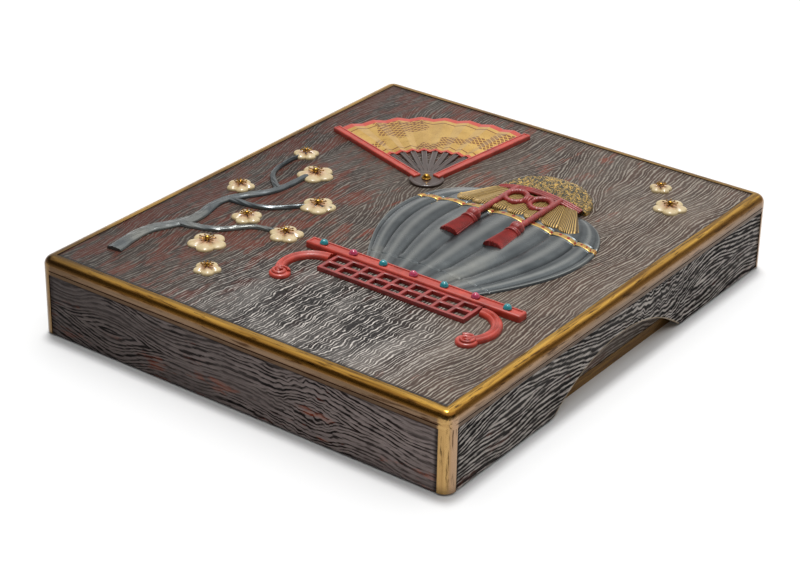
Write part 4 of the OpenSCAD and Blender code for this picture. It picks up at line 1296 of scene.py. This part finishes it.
# %% Gold-leaf paper
LINES_MIDDLE, LINES_APART, HAIR = 0.475, 0.345, 0.009
hair = add("Math", up_fan, LINES_MIDDLE, operation="SUBTRACT")
hair = add("Math", hair, operation="ABSOLUTE")
hair = add("Math", hair, LINES_APART, operation="SUBTRACT")
hair = add("Math", hair, operation="ABSOLUTE")
hair = add("Math", hair, HAIR, operation="LESS_THAN")
gold = add("Mix", hair, gold, "#74401c", **COLOUR)
rim_band = add("Math", up_fan, 0.9, operation="GREATER_THAN")
foot_band = add("Math", up_fan, 0.05, operation="LESS_THAN")
border = add("Math", rim_band, foot_band, operation="MAXIMUM")
colour = add("Mix", border, gold, "#b8402f", **COLOUR)
shine = add("MapRange", border, 0, 1, 0.6, 0.0)
bump = add("Bump", {"Height": grit, "Distance": 0.1 * MM, "Strength": 0.6})
add(surface, {"Base Color": colour, "Roughness": 0.36, "Metallic": shine, "Normal": bump})
print("gold-leaf paper ready")

# %% [markdown]
# The leaf is a grid bent round the pivot, six faces to each of sixteen folds. A row of corners lies on every
# crease, so the folds stay sharp.

# %% Fan leaf
FAN_X, FAN_Y = -34, 58
FAN_FROM, FAN_OPEN, FOLDS = radians(84), radians(78), 16
LEAF_IN, LEAF_OUT = 46, 104


def leaf(u, v):
    """Surface of the folded leaf."""
    a = FAN_FROM + FAN_OPEN * u
    r = LEAF_IN + (LEAF_OUT - LEAF_IN) * v
    fold = abs((u * FOLDS + 1) % 2 - 1)
    z = 0.9 + 1.6 * fold - 0.3 * slope(v - 0.985, 0.015)
    return FAN_X + r * cos(a), FAN_Y + r * sin(a), TOP + z


bm = bmesh.new()
seat(bm, carve(bm, FOLDS * 6, 60, leaf))
relief_piece("fan_leaf", bm, leaf_gold, "relief_fan_leaf", 12)

# %% [markdown]
# The sticks are bamboo slips in dark brown lacquer, glossy, with a faint warm cloud. They meet at the pivot,
# under a round hub with a turned line.

# %% Fan sticks
STICK, HUB_R = 45.6, 11.9
dark_lacquer, add, surface = new_finish("dark_brown_lacquer")
rays = add("TexNoise", add("TexCoord").outputs["Object"], 1 / (3 * MM), 4.0, 0.65)
brown = add("Mix", rays, "#1e1410", "#4a3024", **COLOUR)
add(surface, {"Base Color": brown, "Roughness": 0.3, "Coat Weight": 0.4})


def hub(u, v):
    """Surface of the round hub."""
    a = 2 * pi * u
    z = 2.0 - 0.5 * slope(v - 0.93, 0.07) ** 2 - 0.25 * line(v - 0.75, 0.04)
    return FAN_X + HUB_R * v * cos(a), FAN_Y + HUB_R * v * sin(a), TOP + z


bm = bmesh.new()
for i in range(FOLDS // 2):
    a = FAN_FROM + FAN_OPEN * (2 * i + 1) / FOLDS
    place = (FAN_X + STICK / 2 * cos(a), FAN_Y + STICK / 2 * sin(a), 0)
    bar(bm, (STICK, 3.9, 1.9), place, 0.5, turn=a, panel=(0.5, 0.25))
seat(bm, carve(bm, 64, 30, hub))
relief_piece("fan_sticks", bm, dark_lacquer, "relief_fan_sticks")

# %% [markdown]
# The two guards close the fan on both sides. They are thicker than the sticks, in vermilion, with a sunk
# panel along them.

# %% Fan guards
GUARD_L, GUARD_W, GUARD_MIDDLE = 98, 6, 55
bm = bmesh.new()
for a, s in ((FAN_FROM + FAN_OPEN, 1), (FAN_FROM, -1)):
    aside = s * GUARD_W / 2
    x = FAN_X + GUARD_MIDDLE * cos(a) - aside * sin(a)
    y = FAN_Y + GUARD_MIDDLE * sin(a) + aside * cos(a)
    bar(bm, (GUARD_L, GUARD_W, 3.25), (x, y, 0), 0.9, turn=a, panel=(0.7, 0.4))
relief_piece("fan_guards", bm, vermilion, "relief_fan_guards")

# %% [markdown]
# The rivet and, later, the glass domes are turned pieces. A profile of a few points, each a radius and a
# height, is spun round its axis, merged where the turn closes, and filled underneath.

# %% Fan rivet
RIVET = ((0, 3.4), (1.2, 3.2), (2.2, 2.5), (2.7, 1.4), (2.8, 0.9), (3.3, 0.7), (3.4, 0.2), (3.4, 0))


def turned(bm, wall, steps, place):
    """Spins a wall of radius and height in mm round its axis and sets it down at its place."""
    before = set(bm.verts)
    corners = [bm.verts.new(Vector((r, 0, z)) * MM) for r, z in wall]
    rungs = [bm.edges.new(pair) for pair in zip(corners, corners[1:])]
    bmesh.ops.spin(
        bm, geom=corners + rungs, cent=(0, 0, 0), axis=(0, 0, 1), angle=2 * pi, steps=steps, use_merge=True
    )
    bmesh.ops.remove_doubles(bm, verts=[c for c in bm.verts if c not in before], dist=SAME_SPOT)
    bmesh.ops.holes_fill(bm, edges=open_edges(bm))
    bmesh.ops.translate(bm, verts=[c for c in bm.verts if c not in before], vec=Vector(place) * MM)


bm = bmesh.new()
turned(bm, RIVET, 36, (FAN_X, FAN_Y, TOP + 2))
relief_piece("fan_rivet", bm, bead_gold, "relief_fan_rivet")

# %% [markdown]
# The plum branch is old wood: thick, crooked, with rough bark, and thinner twigs leaving it. Each run follows
# a smooth line through a few set points, with a width that tapers. Across, it is half round, and noise
# stretched along the line makes the bark.

# %% Lines of the plum branch
RUNS = [
    [(-128, -150, 11), (-131, -118, 10), (-118, -86, 9), (-121, -52, 7.5), (-104, -20, 6.5), (-101, 12, 5)],
    [(-121, -96, 7), (-96, -88, 5.5), (-78, -70, 4.5), (-52, -66, 3)],
    [(-118, -48, 6), (-92, -44, 4.5), (-72, -26, 3.5), (-56, -18, 2.6)],
    [(-104, -16, 5), (-122, 2, 4), (-126, 28, 3), (-120, 46, 2.2)],
]


def between(run, t):
    """Point and width on the smooth line through a run, t from 0 to 1."""
    at = min(len(run) - 2, int(t * (len(run) - 1)))
    t = t * (len(run) - 1) - at
    a, b, c, d = (Vector(run[max(0, min(len(run) - 1, at + k))]) for k in (-1, 0, 1, 2))
    bend, twist = 2 * a - 5 * b + 4 * c - d, 3 * b - a - 3 * c + d
    return 0.5 * (2 * b + (c - a) * t + bend * t * t + twist * t ** 3)


print("the branch tapers from", RUNS[0][0][2], "to", RUNS[0][-1][2], "mm")

# %% [markdown]
# The bark is carved along each run: two noises in the surface rule, a fine one for its roughness and a slow
# one for knots, which also swell the width.

# %% Plum branch
ROUGH, KNOTTY = 0.16, 0.07
bm = bmesh.new()
for run in RUNS:
    def bark(u, v):
        """Surface of the rough bark."""
        side = 2 * u - 1
        here = between(run, v)
        ahead = between(run, min(1, v + 0.01)) - between(run, max(0, v - 0.01))
        aside = Vector((-ahead.y, ahead.x)).normalized()
        rough = noise(Vector((here.x * ROUGH + side * 2.2, here.y * ROUGH, side * 1.7)))
        knot = noise(Vector((here.x * KNOTTY, here.y * KNOTTY, 3.0)))
        half = here.z / 2 * (1 + 0.1 * knot)
        z = 0.5 + (1.9 + 0.35 * knot) * half_round(side) + 0.4 * rough * (1 - side ** 4)
        return here.x + aside.x * side * half, here.y + aside.y * side * half, TOP + z

    seat(bm, carve(bm, 22, 150, bark))
relief_piece("plum_branch", bm, pewter, "relief_plum_branch", 60)

# %% [markdown]
# Plum blossoms are inlaid in old ivory-coloured shell, redder towards the middle, with the soft gloss of
# mother-of-pearl. The UV map of a blossom runs round it and from its heart to its rim, so the blush is only a
# range along it.

# %% Inlaid shell
shell, add, surface = new_finish("inlaid_shell")
to_rim = add("SeparateXYZ", add("TexCoord").outputs["UV"]).outputs["Y"]
cloud = add("TexNoise", add("TexCoord").outputs["Object"], 1 / (5 * MM), 3.0)
ivory = add("Mix", cloud, "#a98f60", "#d9c79c", **COLOUR)
blush = add("MapRange", to_rim, 0.2, 0.75, 0.6, 0.0)
ivory = add("Mix", blush, ivory, "#a8573f", **COLOUR)
add(surface, {"Base Color": ivory, "Roughness": 0.26, "Coat Weight": 0.4})
print("shell ready")

# %% [markdown]
# A blossom has five round petals. A petal swells in its middle and falls to its rim and to the heart. One
# rule round the whole flower makes all five, because its outline is the same arc five times.

# %% Blossoms
BLOSSOMS = [
    (-88, -106, 1, 10), (-56, -66, 0.9, 40), (-92, -62, 0.8, 65), (-66, -20, 0.95, 20), (-98, 18, 1, 5),
    (-124, 40, 0.7, 50), (-126, -28, 0.75, 30), (118, 124, 0.9, 15), (98, 146, 0.6, 44), (-64, -134, 0.7, 25),
]
BLOSSOM_R, PETALS = 13, 5
PETAL_AT, PETAL_R = BLOSSOM_R * 0.54, BLOSSOM_R * 0.46
bm = bmesh.new()
for x, y, size, turn in BLOSSOMS:
    def flower(u, v):
        """Surface of five petals."""
        a = 2 * pi * u
        away = abs(((a * PETALS / (2 * pi)) + 0.5) % 1 - 0.5) * 2 * pi / PETALS
        rim = PETAL_AT * cos(away) + sqrt(max(0, PETAL_R ** 2 - (PETAL_AT * sin(away)) ** 2))
        r = rim * v * size
        swell = sin(pi * min(1, v * 0.72 + 0.2)) * (0.35 + 0.65 * cos(away * 2.4))
        z = 0.9 + 2.2 * swell + 0.1 * cos(a * 45) * v * v - 0.5 * slope(v - 0.9, 0.1) ** 2
        a += radians(turn)
        return x + r * cos(a), y + r * sin(a), TOP + z

    seat(bm, carve(bm, 80, 20, flower))
relief_piece("plum_blossoms", bm, shell, "relief_plum_blossoms", 50)

# %% [markdown]
# The heart of each blossom is a gold bead with a ring of stamens. A stamen is a short bar with a tiny ball on
# its end. They repeat ninety times, so each has only a few faces.

# %% Blossom hearts
STAMENS, LONG_STAMEN, SHORT_STAMEN = 9, 5.4, 4.6
bm = bmesh.new()
for x, y, size, turn in BLOSSOMS:
    dome = bmesh.ops.create_uvsphere(bm, u_segments=24, v_segments=12, radius=2.1 * size * MM)["verts"]
    bmesh.ops.scale(bm, verts=dome, vec=(1, 1, 0.8))
    bmesh.ops.translate(bm, verts=dome, vec=Vector((x, y, TOP + 4.2)) * MM)
    for i in range(STAMENS):
        a = radians(turn + 20) + 2 * pi * i / STAMENS
        reach = (SHORT_STAMEN if i % 2 else LONG_STAMEN) * size
        out_x, out_y = reach * cos(a), reach * sin(a)
        bar(bm, (reach, 0.5, 0.5), (x + out_x / 2, y + out_y / 2, 3.9), 0.12, turn=a)
        tip = bmesh.ops.create_icosphere(bm, subdivisions=1, radius=0.62 * MM)["verts"]
        bmesh.ops.translate(bm, verts=tip, vec=Vector((x + out_x, y + out_y, TOP + 4.3)) * MM)
relief_piece("blossom_hearts", bm, bead_gold, "relief_blossom_hearts")

# %% [markdown]
# Along the plank sit seven cabochons, polished domes of teal and ruby glass. Such glass paste is opaque and
# deep in colour, with a mirror gloss and a faint swirl from the melt. Clear glass would need a backing that
# nobody sees.

# %% Glass paste
def glass_paste(name, light, deep):
    """Opaque coloured glass, glossy, with a melt swirl a few millimetres wide."""
    finish, add, surface = new_finish(name)
    spot = add("TexCoord").outputs["Object"]
    melt = add("TexNoise", {"Vector": spot, "Scale": 1 / (4 * MM), "Detail": 2.0, "Distortion": 1.5})
    tone = add("Mix", melt, deep, light, **COLOUR)
    add(surface, {"Base Color": tone, "Roughness": 0.08, "IOR": 1.52, "Coat Weight": 0.5})
    return finish


teal = glass_paste("teal_glass", "#2f9aa0", "#0f5f6c")
ruby = glass_paste("ruby_glass", "#cf4a6e", "#8e1c3e")
print("two colours of glass")

# %% [markdown]
# A dome is a turned piece: a low wall, then a curve that closes on top. The two colours take turns along the
# plank.

# %% Glass cabochons
CABOCHONS = 7
DOME = ((0, 2.9), (0.8, 2.8), (1.5, 2.45), (2.1, 1.9), (2.55, 1.2), (2.8, 0.55), (2.85, 0.2), (2.85, 0))
for first, name, finish, slot, node in (
    (0, "teal_cabochons", teal, "teal_bead", "relief_teal_beads"),
    (1, "ruby_cabochons", ruby, "ruby_bead", "relief_ruby_beads"),
):
    bm = bmesh.new()
    for i in range(first, CABOCHONS, 2):
        x = JAR_X + (i - CABOCHONS // 2) * PLANK_W / CABOCHONS
        turned(bm, DOME, 32, (x, STAND_Y + PLANK_H / 2, TOP + 4.5))
    relief_piece(name, bm, finish, node, 50)
